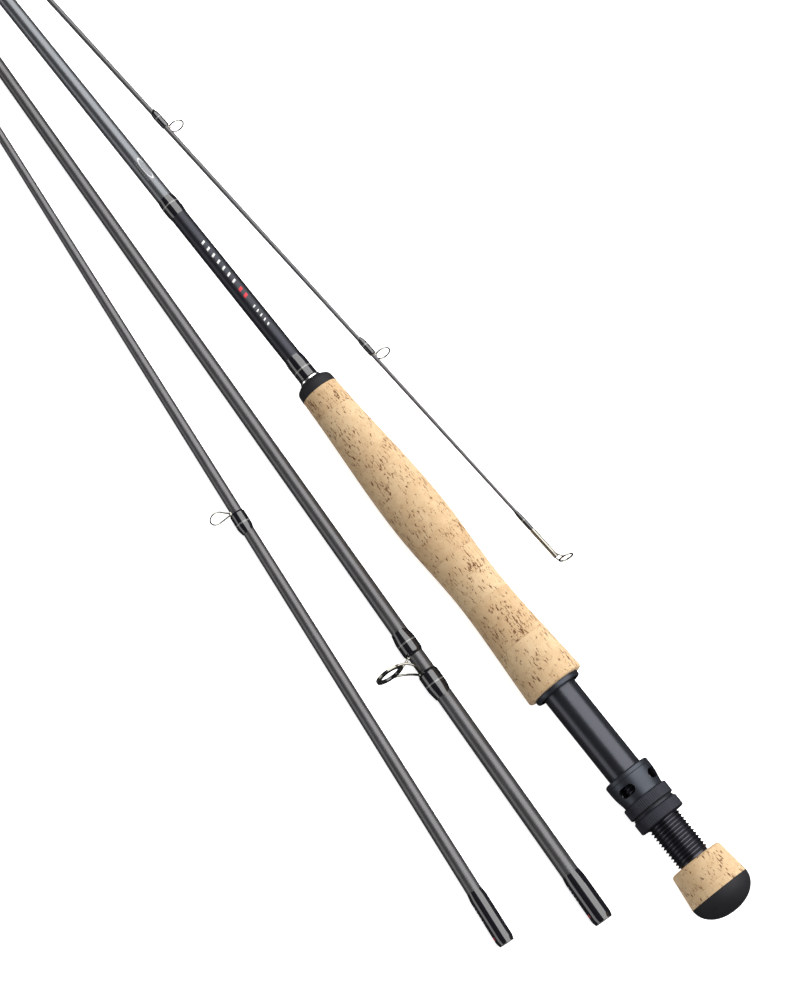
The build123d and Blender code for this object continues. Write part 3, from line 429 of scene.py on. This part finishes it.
def moulded_rubber(name, hex_value):
    """Moulded rubber or plastic: nearly matte, with a fine grain that breaks up its dull
    highlight."""
    material, tree = new_material(name)
    place = add_node(tree, "ShaderNodeTexCoord").outputs["Object"]
    grain = add_node(tree, NOISE, {"Vector": place, "Scale": 1 / (0.35 * MM), "Detail": 3.0})
    wear = add_node(tree, NOISE, {"Vector": place, "Scale": 1 / (6 * MM), "Detail": 3.0})
    base = linear(hex_value)
    lighter = [min(1.0, value * 1.4) for value in base[:3]] + [1.0]
    tone = add_node(tree, MIX, {SHARE: wear, UNDER: base, OVER: lighter}, data_type="RGBA")
    roughness = add_node(tree, MATH, {0: wear, 1: 0.2, 2: 0.55}, operation="MULTIPLY_ADD")
    bump = add_node(tree, "ShaderNodeBump", {
        "Height": grain, "Strength": 0.25, "Distance": 0.06 * MM})
    shader = add_node(tree, "ShaderNodeBsdfPrincipled", {
        "Base Color": tone, "Roughness": roughness, "Specular IOR Level": 0.2, "Normal": bump})
    add_node(tree, "ShaderNodeOutputMaterial", {"Surface": shader})
    return material


def anodised_aluminium(name, line, hex_value, roughness, groove):
    """Turned aluminium, dyed and anodised: a deep satin with fine lines left by the tool."""
    material, tree = new_material(name)
    local = section_coordinates(tree, line)
    parts = add_node(tree, "ShaderNodeSeparateXYZ", {"Vector": local})
    along = add_node(tree, MATH, {0: parts.outputs["X"], 1: groove * MM}, operation="DIVIDE")
    lines = add_node(tree, NOISE, {"W": along, "Scale": 1.0, "Detail": 2.0}, noise_dimensions="1D")
    bloom = add_node(tree, NOISE, {"Vector": local, "Scale": 1 / (7 * MM), "Detail": 3.0})
    base = linear(hex_value)
    lighter = [min(1.0, value * 1.35) for value in base[:3]] + [1.0]
    tone = add_node(tree, MIX, {SHARE: lines, UNDER: base, OVER: lighter}, data_type="RGBA")
    rough = add_node(tree, MATH, {0: bloom, 1: 0.12, 2: roughness - 0.06}, operation="MULTIPLY_ADD")
    bump = add_node(tree, "ShaderNodeBump", {
        "Height": lines, "Strength": 0.12, "Distance": 0.03 * MM})
    shader = add_node(tree, "ShaderNodeBsdfPrincipled", {
        "Base Color": tone, "Metallic": 0.75, "Roughness": rough, "Normal": bump})
    add_node(tree, "ShaderNodeOutputMaterial", {"Surface": shader})
    return material


def varnished_thread(name, line, marks=None):
    """Black winding thread under coats of brushed varnish: glossy and very slightly uneven.
    marks holds where a socket's alignment dot and its ticks are printed, in millimetres along
    the section."""
    colours = bpy.context.scene.rod_colours
    material, tree = new_material(name)
    local = section_coordinates(tree, line)
    parts = add_node(tree, "ShaderNodeSeparateXYZ", {"Vector": local})
    # winding thread is about 0.2 mm thick, drawn coarser so that it shows under the varnish
    drawn_thread = 0.4 * MM
    thread = add_node(tree, MATH, {
        0: parts.outputs["X"], 1: 2 * math.pi / drawn_thread}, operation="MULTIPLY")
    thread = add_node(tree, MATH, {0: thread}, operation="SINE")
    uneven = add_node(tree, NOISE, {"Vector": local, "Scale": 1 / (5 * MM), "Detail": 1.0})
    varnish = linear(colours.varnish)
    # painted highlight and shade: each drawn turn of thread gets a lighter copy of the varnish
    # colour along its crest and the plain varnish colour in the groove between turns
    lighter = [value * 2.2 for value in varnish[:3]] + [1.0]
    ribs = add_node(tree, MATH, {0: thread, 1: 0.5, 2: 0.5}, operation="MULTIPLY_ADD")
    tone = add_node(tree, MIX, {SHARE: ribs, UNDER: varnish, OVER: lighter}, data_type="RGBA")
    if marks:
        # where the marks are round the wrap, in radians, and half their reach round it
        mark_angle, dot_half_angle, tick_half_angle = 0.1, 0.5, 0.34
        # half the reach of the dot and of the row of ticks along the wrap, in millimetres
        dot_half_length, row_half_length = 0.8, 4.8
        tick_pitch, tick_ink = 1.9, 0.45
        along = add_node(tree, MATH, {0: parts.outputs["X"], 1: MM}, operation="DIVIDE")
        angle = add_node(tree, MATH, {0: parts.outputs["Z"], 1: parts.outputs["Y"]},
                         operation="ARCTAN2")
        near = add_node(tree, MATH, {0: angle, 1: mark_angle, 2: dot_half_angle},
                        operation="COMPARE")
        dot = add_node(tree, MATH, {0: along, 1: marks["dot"], 2: dot_half_length},
                       operation="COMPARE")
        dot = add_node(tree, MATH, {0: dot, 1: near}, operation="MULTIPLY")
        tone = add_node(tree, MIX, {SHARE: dot, UNDER: tone, OVER: linear(colours.print_red)},
                        data_type="RGBA")
        inside = add_node(tree, MATH, {0: along, 1: marks["ticks"], 2: row_half_length},
                          operation="COMPARE")
        cycle = add_node(tree, MATH, {0: along, 1: tick_pitch}, operation="DIVIDE")
        cycle = add_node(tree, MATH, {0: cycle}, operation="FRACT")
        ticks = add_node(tree, MATH, {0: cycle, 1: tick_ink}, operation="LESS_THAN")
        ticks = add_node(tree, MATH, {0: ticks, 1: inside}, operation="MULTIPLY")
        narrow = add_node(tree, MATH, {0: angle, 1: mark_angle, 2: tick_half_angle},
                          operation="COMPARE")
        ticks = add_node(tree, MATH, {0: ticks, 1: narrow}, operation="MULTIPLY")
        tone = add_node(tree, MIX, {SHARE: ticks, UNDER: tone, OVER: linear(colours.print_white)},
                        data_type="RGBA")
    height = add_node(tree, MATH, {0: thread, 1: 0.02, 2: uneven}, operation="MULTIPLY_ADD")
    bump = add_node(tree, "ShaderNodeBump", {
        "Height": height, "Strength": 0.3, "Distance": 0.2 * MM})
    # the varnish is the coat; the thread below it gives almost no gloss of its own
    shader = add_node(tree, "ShaderNodeBsdfPrincipled", {
        "Base Color": tone, "Roughness": 0.5, "Specular IOR Level": 0.05, "Normal": bump,
        "Coat Weight": 1.0, "Coat Roughness": 0.03, "Coat IOR": 1.66})
    add_node(tree, "ShaderNodeOutputMaterial", {"Surface": shader})
    return material


def metallic_thread(name, line):
    """Silver metallic thread wound side by side under the same varnish: ribbed and clean-edged."""
    colours = bpy.context.scene.rod_colours
    material, tree = new_material(name)
    local = section_coordinates(tree, line)
    parts = add_node(tree, "ShaderNodeSeparateXYZ", {"Vector": local})
    # the thread is about 0.2 mm thick, drawn coarser so that its ribs show
    drawn_thread = 0.35 * MM
    ribs = add_node(tree, MATH, {
        0: parts.outputs["X"], 1: 2 * math.pi / drawn_thread}, operation="MULTIPLY")
    ribs = add_node(tree, MATH, {0: ribs}, operation="SINE")
    share = add_node(tree, MATH, {0: ribs, 1: 0.5, 2: 0.5}, operation="MULTIPLY_ADD")
    silver = linear(colours.metallic_thread)
    shadow = [value * 0.35 for value in silver[:3]] + [1.0]
    tone = add_node(tree, MIX, {SHARE: share, UNDER: shadow, OVER: silver}, data_type="RGBA")
    bump = add_node(tree, "ShaderNodeBump", {
        "Height": share, "Strength": 0.4, "Distance": 0.06 * MM})
    shader = add_node(tree, "ShaderNodeBsdfPrincipled", {
        "Base Color": tone, "Metallic": 0.3, "Roughness": 0.5, "Normal": bump,
        "Coat Weight": 1.0, "Coat Roughness": 0.03, "Coat IOR": 1.66})
    add_node(tree, "ShaderNodeOutputMaterial", {"Surface": shader})
    return material


def polished_metal(name, hex_value, roughness):
    """Chromed or bright-dipped metal: a near mirror with faint drawing marks."""
    material, tree = new_material(name)
    place = add_node(tree, "ShaderNodeTexCoord").outputs["Object"]
    haze = add_node(tree, NOISE, {"Vector": place, "Scale": 1 / (1.5 * MM), "Detail": 3.0})
    rough = add_node(tree, MATH, {0: haze, 1: 0.1, 2: roughness}, operation="MULTIPLY_ADD")
    base = linear(hex_value)
    darker = [value * 0.9 for value in base[:3]] + [1.0]
    tone = add_node(tree, MIX, {SHARE: haze, UNDER: darker, OVER: base}, data_type="RGBA")
    shader = add_node(tree, "ShaderNodeBsdfPrincipled", {
        "Base Color": tone, "Metallic": 1.0, "Roughness": rough})
    add_node(tree, "ShaderNodeOutputMaterial", {"Surface": shader})
    return material


def dense_ceramic(name, hex_value):
    """Sintered ceramic, diamond-polished: hard, glassy and almost black."""
    material, tree = new_material(name)
    place = add_node(tree, "ShaderNodeTexCoord").outputs["Object"]
    speckle = add_node(tree, NOISE, {"Vector": place, "Scale": 1 / (0.3 * MM), "Detail": 2.0})
    base = linear(hex_value)
    lighter = [min(1.0, value * 1.5) for value in base[:3]] + [1.0]
    tone = add_node(tree, MIX, {SHARE: speckle, UNDER: base, OVER: lighter}, data_type="RGBA")
    rough = add_node(tree, MATH, {0: speckle, 1: 0.06, 2: 0.08}, operation="MULTIPLY_ADD")
    shader = add_node(tree, "ShaderNodeBsdfPrincipled", {
        "Base Color": tone, "Roughness": rough, "IOR": 1.76})
    add_node(tree, "ShaderNodeOutputMaterial", {"Surface": shader})
    return material


# ---------------------------------------------------------------- mesh helpers
def start_piece(name):
    """Names the primitive that was just added and opens it for editing with nothing selected."""
    piece = bpy.context.active_object
    piece.name = name
    piece.data.name = name
    bpy.ops.object.mode_set(mode="EDIT")
    bpy.ops.mesh.select_all(action="DESELECT")
    return piece


def choose(piece, kind, test):
    """Selects the piece's vertices or faces whose middle passes a test, and nothing else."""
    bpy.ops.mesh.select_mode(type=kind)
    bpy.ops.mesh.select_all(action="DESELECT")
    bpy.ops.object.mode_set(mode="OBJECT")
    points = piece.data.vertices
    if kind == "VERT":
        for point in points:
            point.select = test(point.co)
    if kind == "FACE":
        for face in piece.data.polygons:
            face.select = test(face.center)
    bpy.ops.object.mode_set(mode="EDIT")


def place_on(piece, line):
    """Puts a piece that was made along X on a section's line, with its place in its mesh."""
    if piece.mode == "EDIT":
        bpy.ops.object.mode_set(mode="OBJECT")
    piece.data.transform(line.matrix)
    piece.data.update()


def deselect():
    """Leaves nothing selected, so that an operator acts only on what is added next."""
    bpy.ops.object.select_all(action="DESELECT")


def knurled_ring(name, line, start):
    """A lock ring: a grooved grip, chamfered ends and a bore."""
    sizes = bpy.context.scene.rod_sizes
    teeth = 72
    points_per_tooth = 4
    radius = sizes.ring_radius * MM
    chamfer = sizes.ring_chamfer * MM
    width = sizes.ring_width * MM
    middle = start * MM + width / 2
    deselect()
    bpy.ops.mesh.primitive_cylinder_add(
        vertices=teeth * points_per_tooth, radius=radius, depth=width - 2 * chamfer,
        location=(middle, 0, 0), rotation=(0, math.pi / 2, 0))
    bpy.ops.object.transform_apply(location=True, rotation=True, scale=True)
    piece = start_piece(name)
    step = 2 * math.pi / (teeth * points_per_tooth)

    def in_groove(point):
        return round(math.atan2(point.z, point.y) / step) % points_per_tooth == 0

    choose(piece, "VERT", in_groove)
    shrink = 1 - sizes.knurl_depth * MM / radius
    bpy.ops.transform.resize(value=(1, shrink, shrink), center_override=(middle, 0, 0))
    for end in (-1, 1):
        face_x = middle + end * (width / 2 - chamfer)
        choose(piece, "FACE", lambda centre: abs(centre.x - face_x) < TOUCHING)
        bpy.ops.mesh.extrude_region_move(TRANSFORM_OT_translate={"value": (end * chamfer, 0, 0)})
        narrower = (radius - chamfer) / radius
        bpy.ops.transform.resize(value=(1, narrower, narrower), center_override=(face_x, 0, 0))
    choose(piece, "FACE", lambda centre: abs(abs(centre.x - middle) - width / 2) < TOUCHING)
    bpy.ops.mesh.extrude_region_move(TRANSFORM_OT_translate={"value": (0, 0, 0)})
    inward = sizes.ring_bore * MM / (radius - chamfer)
    bpy.ops.transform.resize(value=(1, inward, inward), center_override=(middle, 0, 0))
    bpy.ops.mesh.bridge_edge_loops()
    bpy.ops.mesh.select_all(action="SELECT")
    bpy.ops.mesh.remove_doubles(threshold=MERGING)
    bpy.ops.mesh.normals_make_consistent(inside=False)
    bpy.ops.object.mode_set(mode="OBJECT")
    bpy.ops.object.shade_smooth_by_angle(angle=math.radians(20))
    place_on(piece, line)
    return piece


def cut_key_groove(piece):
    """Cuts the groove for the tabs of the washer and the hood along a seat piece's underside."""
    sizes = bpy.context.scene.rod_sizes
    start = sizes.groove_start * MM
    end = sizes.groove_end * MM
    depth = 3 * MM
    deselect()
    bpy.ops.mesh.primitive_cube_add(
        size=1, location=((start + end) / 2, 0, -sizes.groove_floor * MM - depth / 2),
        scale=(end - start, sizes.groove_width * MM, depth))
    bpy.ops.object.transform_apply(location=True, rotation=True, scale=True)
    cutter = bpy.context.active_object
    deselect()
    piece.select_set(True)
    bpy.context.view_layer.objects.active = piece
    cut = piece.modifiers.new("groove", "BOOLEAN")
    cut.operation = "DIFFERENCE"
    cut.solver = "EXACT"
    cut.object = cutter
    bpy.ops.object.modifier_apply(modifier="groove")
    bpy.data.objects.remove(cutter)


def seat_tube(line):
    """The seat tube without its thread: a plain core under the thread, and the smooth barrel."""
    sizes = bpy.context.scene.rod_sizes
    start = sizes.seat_start * MM
    end = sizes.seat_end * MM
    step = sizes.thread_end * MM
    deselect()
    bpy.ops.mesh.primitive_cylinder_add(
        vertices=128, radius=sizes.thread_root * MM, depth=step - start,
        location=((start + step) / 2, 0, 0), rotation=(0, math.pi / 2, 0))
    bpy.ops.object.transform_apply(location=True, rotation=True, scale=True)
    piece = start_piece("seat_tube")
    # the barrel steps out at the thread's end, with a small chamfer
    step_chamfer = 0.25
    chamfer = step_chamfer * MM
    wider = sizes.barrel_radius / sizes.thread_root
    shoulder = (sizes.barrel_radius - step_chamfer) / sizes.thread_root
    wall = 1 * MM
    choose(piece, "FACE", lambda centre: abs(centre.x - step) < TOUCHING)
    bpy.ops.mesh.extrude_region_move(TRANSFORM_OT_translate={"value": (0, 0, 0)})
    bpy.ops.transform.resize(value=(1, shoulder, shoulder), center_override=(step, 0, 0))
    bpy.ops.mesh.extrude_region_move(TRANSFORM_OT_translate={"value": (chamfer, 0, 0)})
    grow = wider / shoulder
    bpy.ops.transform.resize(value=(1, grow, grow), center_override=(step + chamfer, 0, 0))
    bpy.ops.mesh.extrude_region_move(TRANSFORM_OT_translate={"value": (end - step - chamfer, 0, 0)})
    choose(piece, "FACE", lambda centre: centre.x < start + TOUCHING or centre.x > end - TOUCHING)
    bpy.ops.mesh.select_mode(type="FACE")
    bpy.ops.mesh.inset(thickness=wall, use_individual=True)
    bpy.ops.mesh.bridge_edge_loops()
    bpy.ops.mesh.select_all(action="SELECT")
    bpy.ops.mesh.normals_make_consistent(inside=False)
    bpy.ops.object.mode_set(mode="OBJECT")
    cut_key_groove(piece)
    bpy.ops.object.shade_smooth_by_angle(angle=math.radians(30))
    place_on(piece, line)
    return piece


def seat_thread(line):
    """The raised helix that the lock rings run on: one rounded ridge, wound right-handed."""
    sizes = bpy.context.scene.rod_sizes
    pitch = sizes.thread_pitch * MM
    root = sizes.thread_root * MM
    height = (sizes.thread_crest - sizes.thread_root) * MM
    turns = int((sizes.thread_end - sizes.thread_start) / sizes.thread_pitch) - 1
    start = sizes.thread_start * MM + pitch / 2
    sink = 0.15 * MM
    foot_share = 0.82       # the ridge's foot as a share of the pitch
    crest_share = 0.16      # its crest as a share of its foot
    steps_per_turn = 72
    middle = root + (height - sink) / 2
    deselect()
    bpy.ops.mesh.primitive_plane_add(size=1, location=(start, middle, 0))
    bpy.ops.object.transform_apply(location=True, rotation=True, scale=True)
    piece = start_piece("seat_thread")
    bpy.ops.mesh.select_all(action="SELECT")
    bpy.ops.transform.resize(
        value=(foot_share * pitch, height + sink, 1), center_override=(start, middle, 0))
    choose(piece, "VERT", lambda point: point.y > middle)
    bpy.ops.transform.resize(value=(crest_share, 1, 1), center_override=(start, middle, 0))
    bpy.ops.mesh.select_all(action="SELECT")
    bpy.ops.mesh.delete(type="ONLY_FACE")
    bpy.ops.object.mode_set(mode="OBJECT")
    screw = piece.modifiers.new("wind", "SCREW")
    screw.axis = "X"
    screw.angle = 2 * math.pi
    screw.screw_offset = pitch
    screw.iterations = turns
    screw.steps = steps_per_turn
    screw.render_steps = steps_per_turn
    screw.use_smooth_shade = True
    bpy.ops.object.modifier_apply(modifier="wind")
    bpy.ops.object.mode_set(mode="EDIT")
    bpy.ops.mesh.select_all(action="SELECT")
    bpy.ops.mesh.remove_doubles(threshold=MERGING)
    bpy.ops.mesh.fill_holes(sides=4)
    bpy.ops.mesh.normals_make_consistent(inside=False)
    bpy.ops.object.mode_set(mode="OBJECT")
    cut_key_groove(piece)
    bpy.ops.object.shade_smooth_by_angle(angle=math.radians(35))
    place_on(piece, line)
    return piece


# ---------------------------------------------------------------- operators
class ROD_OT_blanks(bpy.types.Operator):
    """Lacquered carbon on the four blanks, with plain printed bars on the butt"""

    bl_idname = "rod.blanks"
    bl_label = "Blanks"

    def execute(self, context):
        dress(printed_carbon("lacquered_carbon_butt", butt_line()), ["butt_blank"])
        for section in ("second", "third", "tip"):
            line = socket_line(section + "_section_socket")
            dress(lacquered_carbon("lacquered_carbon_" + section, line), [section + "_blank"])
        return {"FINISHED"}


class ROD_OT_cork(bpy.types.Operator):
    """Natural cork on the grip and the fighting butt"""

    bl_idname = "rod.cork"
    bl_label = "Cork"

    def execute(self, context):
        dress(cork("natural_cork", butt_line()), ["cork_grip", "butt_cork"])
        return {"FINISHED"}


class ROD_OT_rubber(bpy.types.Operator):
    """Moulded rubber on the butt cap and on the grip's front ring"""

    bl_idname = "rod.rubber"
    bl_label = "Rubber"

    def execute(self, context):
        colours = context.scene.rod_colours
        dress(moulded_rubber("moulded_rubber", colours.rubber), ["butt_cap", "grip_front_ring"])
        return {"FINISHED"}


class ROD_OT_reel_seat(bpy.types.Operator):
    """Anodised seat tube with its helical thread, knurled lock rings, washers and hoods"""

    bl_idname = "rod.reel_seat"
    bl_label = "Reel seat"

    def execute(self, context):
        colours = context.scene.rod_colours
        sizes = context.scene.rod_sizes
        line = butt_line()
        black = anodised_aluminium("black_anodised_aluminium", line, colours.barrel, 0.29, 0.22)
        # painted shade: the thread gets a darker copy of the barrel's black anodised finish, for
        # the shade that fills its grooves
        shaded_thread_finish = anodised_aluminium("black_anodised_aluminium_shaded_thread", line, colours.thread, 0.3, 0.22)
        grey = anodised_aluminium("grey_anodised_aluminium", line, colours.hood, 0.40, 0.3)
        matte = anodised_aluminium("bead_blasted_aluminium", line, colours.ring, 0.46, 0.3)
        tube = seat_tube(line)
        thread = seat_thread(line)
        for piece, finish in ((tube, black), (thread, shaded_thread_finish)):
            piece.data.materials.append(finish)
            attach(piece, "butt_section")
        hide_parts("seat_barrel")
        for name, start, body, node in (
            ("lower_ring_knurled", sizes.lower_ring_start, "lower_ring", "lower_lock_ring"),
            ("upper_ring_knurled", sizes.upper_ring_start, "upper_ring", "upper_lock_ring"),
        ):
            ring = knurled_ring(name, line, start)
            ring.data.materials.append(matte)
            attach(ring, body)
            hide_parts(node)
        dress(matte, ["keyed_washer"])
        dress(grey, ["sliding_hood", "fixed_hood"])
        dress(moulded_rubber("acetal_washer", colours.washer), ["slip_washer"])
        dress(moulded_rubber("filled_epoxy", colours.filler),
              ["seat_bushing_rear", "seat_bushing_front", "butt_plug"])
        return {"FINISHED"}


class ROD_OT_wraps(bpy.types.Operator):
    """Varnished black thread on every wrap, metallic bands, and the bright winding check"""

    bl_idname = "rod.wraps"
    bl_label = "Thread wraps"

    def execute(self, context):
        colours = context.scene.rod_colours
        butt = butt_line()
        dress(varnished_thread("varnished_thread_butt", butt), wraps_on("butt_"))
        dress(metallic_thread("metallic_thread_butt", butt), ["butt_bands"])
        socket_marks = {
            "second": {"dot": 5.5, "ticks": 18.0},
            "third": {"dot": 4.5, "ticks": 17.0},
        }
        for section in ("second", "third", "tip"):
            line = socket_line(section + "_section_socket")
            plain = varnished_thread("varnished_thread_" + section, line)
            marked = varnished_thread("marked_thread_" + section, line, socket_marks.get(section))
            own = wraps_on((section + "_", "stripper_") if section == "second" else section + "_")
            dress(plain, own)
            dress(marked, [section + "_ferrule_wrap"])
            dress(metallic_thread("metallic_thread_" + section, line), [section + "_bands"])
        dress(polished_metal("bright_dipped_aluminium", colours.check, 0.18), ["winding_check"])
        return {"FINISHED"}


class ROD_OT_guides(bpy.types.Operator):
    """Chromed wire guides, the stripping guide with its ceramic ring, and the tip-top"""

    bl_idname = "rod.guides"
    bl_label = "Line guides"

    def execute(self, context):
        colours = context.scene.rod_colours
        names = [
            name for name in sorted(frame["nodes"]) if "_guide_" in name and "wrap" not in name]
        dress(polished_metal("hard_chromed_wire", colours.wire, 0.16),
              names + ["stripper_frame", "tip_top"])
        dress(dense_ceramic("polished_black_ceramic", colours.ceramic), ["stripper_ring"])
        return {"FINISHED"}


# where the softboxes stand and aim, and how wide and high they are, in metres
LIT_SPOT = (-0.15, 0, 0)
KEY_PLACE, KEY_SIZE = (-0.15, -0.85, 0.88), (2.6, 1.9)
FILL_PLACE, FILL_SIZE = (-0.15, 1.5, 0.55), (2.6, 0.8)


class ROD_OT_stage(bpy.types.Operator):
    """The camera, a pale table and soft studio light"""

    bl_idname = "rod.stage"
    bl_label = "Stage"

    def execute(self, context):
        settings = context.scene.rod_stage
        deselect()
        bpy.ops.mesh.primitive_plane_add(size=settings.table_size, location=(0, 0, 0))
        table = context.active_object
        table.name = "table"
        table.data.materials.append(self.table_paint(settings.table_glow))
        # the table lights the rod from below, and doesn't show as a white rim in its dark,
        # glossy pieces
        table.visible_glossy = False
        self.add_softbox("key", KEY_PLACE, KEY_SIZE, settings.key_power)
        self.add_softbox("fill", FILL_PLACE, FILL_SIZE, settings.fill_power)
        self.add_room(context)
        context.scene.view_settings.view_transform = "Standard"
        self.add_camera(context)
        return {"FINISHED"}

    def add_room(self, context):
        """A dim room; seen directly it is as pale as the table."""
        world = bpy.data.worlds.new("room")
        world.use_nodes = True
        tree = world.node_tree
        tree.nodes.clear()
        dim = add_node(tree, "ShaderNodeBackground", {"Strength": context.scene.rod_stage.room})
        pale = add_node(tree, "ShaderNodeBackground", {"Color": linear("#F4F4F4"), "Strength": 1.0})
        path = add_node(tree, "ShaderNodeLightPath")
        seen = add_node(tree, "ShaderNodeMixShader", {
            0: path.outputs["Is Camera Ray"], 1: dim, 2: pale})
        add_node(tree, "ShaderNodeOutputWorld", {"Surface": seen})
        context.scene.world = world

    def table_paint(self, glow):
        """Opal acrylic, sanded matte and lit from below: white, with a barely visible mottle."""
        material, tree = new_material("opal_acrylic")
        place = add_node(tree, "ShaderNodeTexCoord")
        mottle = add_node(tree, NOISE, {
            "Vector": place.outputs["Object"], "Scale": 8.0, "Detail": 2.0})
        tone = add_node(tree, MIX, {
            SHARE: mottle, UNDER: linear("#F2F2F2"), OVER: linear("#F7F7F7")},
                        data_type="RGBA")
        shader = add_node(tree, "ShaderNodeBsdfPrincipled", {
            "Base Color": tone, "Roughness": 0.9, "Specular IOR Level": 0.1,
            "Emission Color": (1.0, 1.0, 1.0, 1.0), "Emission Strength": glow})
        add_node(tree, "ShaderNodeOutputMaterial", {"Surface": shader})
        return material

    def add_softbox(self, name, place, size, power):
        """A rectangular soft light that faces the middle of the rod."""
        lamp = bpy.data.lights.new(name, "AREA")
        lamp.shape = "RECTANGLE"
        lamp.size = size[0]
        lamp.size_y = size[1]
        lamp.energy = power
        softbox = bpy.data.objects.new(name, lamp)
        bpy.context.collection.objects.link(softbox)
        target = Vector(LIT_SPOT)
        softbox.location = place
        softbox.rotation_euler = (target - Vector(place)).to_track_quat("-Z", "Y").to_euler()

    def add_camera(self, context):
        """A long lens that looks almost straight down."""
        settings = context.scene.rod_stage
        back = -Vector(settings.camera_view).normalized()
        right = Vector(settings.camera_up).cross(back).normalized()
        up = back.cross(right)
        lens = bpy.data.cameras.new("camera")
        lens.lens = settings.lens
        lens.sensor_width = 36.0
        lens.clip_end = 20.0
        camera = bpy.data.objects.new("camera", lens)
        bpy.context.collection.objects.link(camera)
        turn = Matrix((right, up, back)).transposed().to_4x4()
        camera.matrix_world = Matrix.Translation(Vector(settings.camera_place)) @ turn
        context.scene.camera = camera


class ROD_PT_panel(bpy.types.Panel):
    """Lists the steps that finish the rod"""

    bl_idname = "ROD_PT_panel"
    bl_label = "Fly rod"
    bl_space_type = "VIEW_3D"
    bl_region_type = "UI"
    bl_category = "Fly rod"

    def draw(self, context):
        for step in STEPS:
            self.layout.operator(step.bl_idname)


STEPS = (
    ROD_OT_stage, ROD_OT_blanks, ROD_OT_cork, ROD_OT_rubber, ROD_OT_reel_seat, ROD_OT_wraps,
    ROD_OT_guides,
)
CLASSES = (RodSizes, RodColours, StageSettings, *STEPS, ROD_PT_panel)


def register():
    """Adds the settings, the operators and the panel."""
    for item in CLASSES:
        bpy.utils.register_class(item)
    bpy.types.Scene.rod_sizes = bpy.props.PointerProperty(type=RodSizes)
    bpy.types.Scene.rod_colours = bpy.props.PointerProperty(type=RodColours)
    bpy.types.Scene.rod_stage = bpy.props.PointerProperty(type=StageSettings)


def unregister():
    """Takes them away again."""
    del bpy.types.Scene.rod_stage
    del bpy.types.Scene.rod_colours
    del bpy.types.Scene.rod_sizes
    for item in reversed(CLASSES):
        bpy.utils.unregister_class(item)


def main():
    """Finishes the rod step by step."""
    register()
    bpy.ops.rod.stage()
    bpy.ops.rod.blanks()
    bpy.ops.rod.cork()
    bpy.ops.rod.rubber()
    bpy.ops.rod.reel_seat()
    bpy.ops.rod.wraps()
    bpy.ops.rod.guides()


if __name__ == "__main__":
    main()
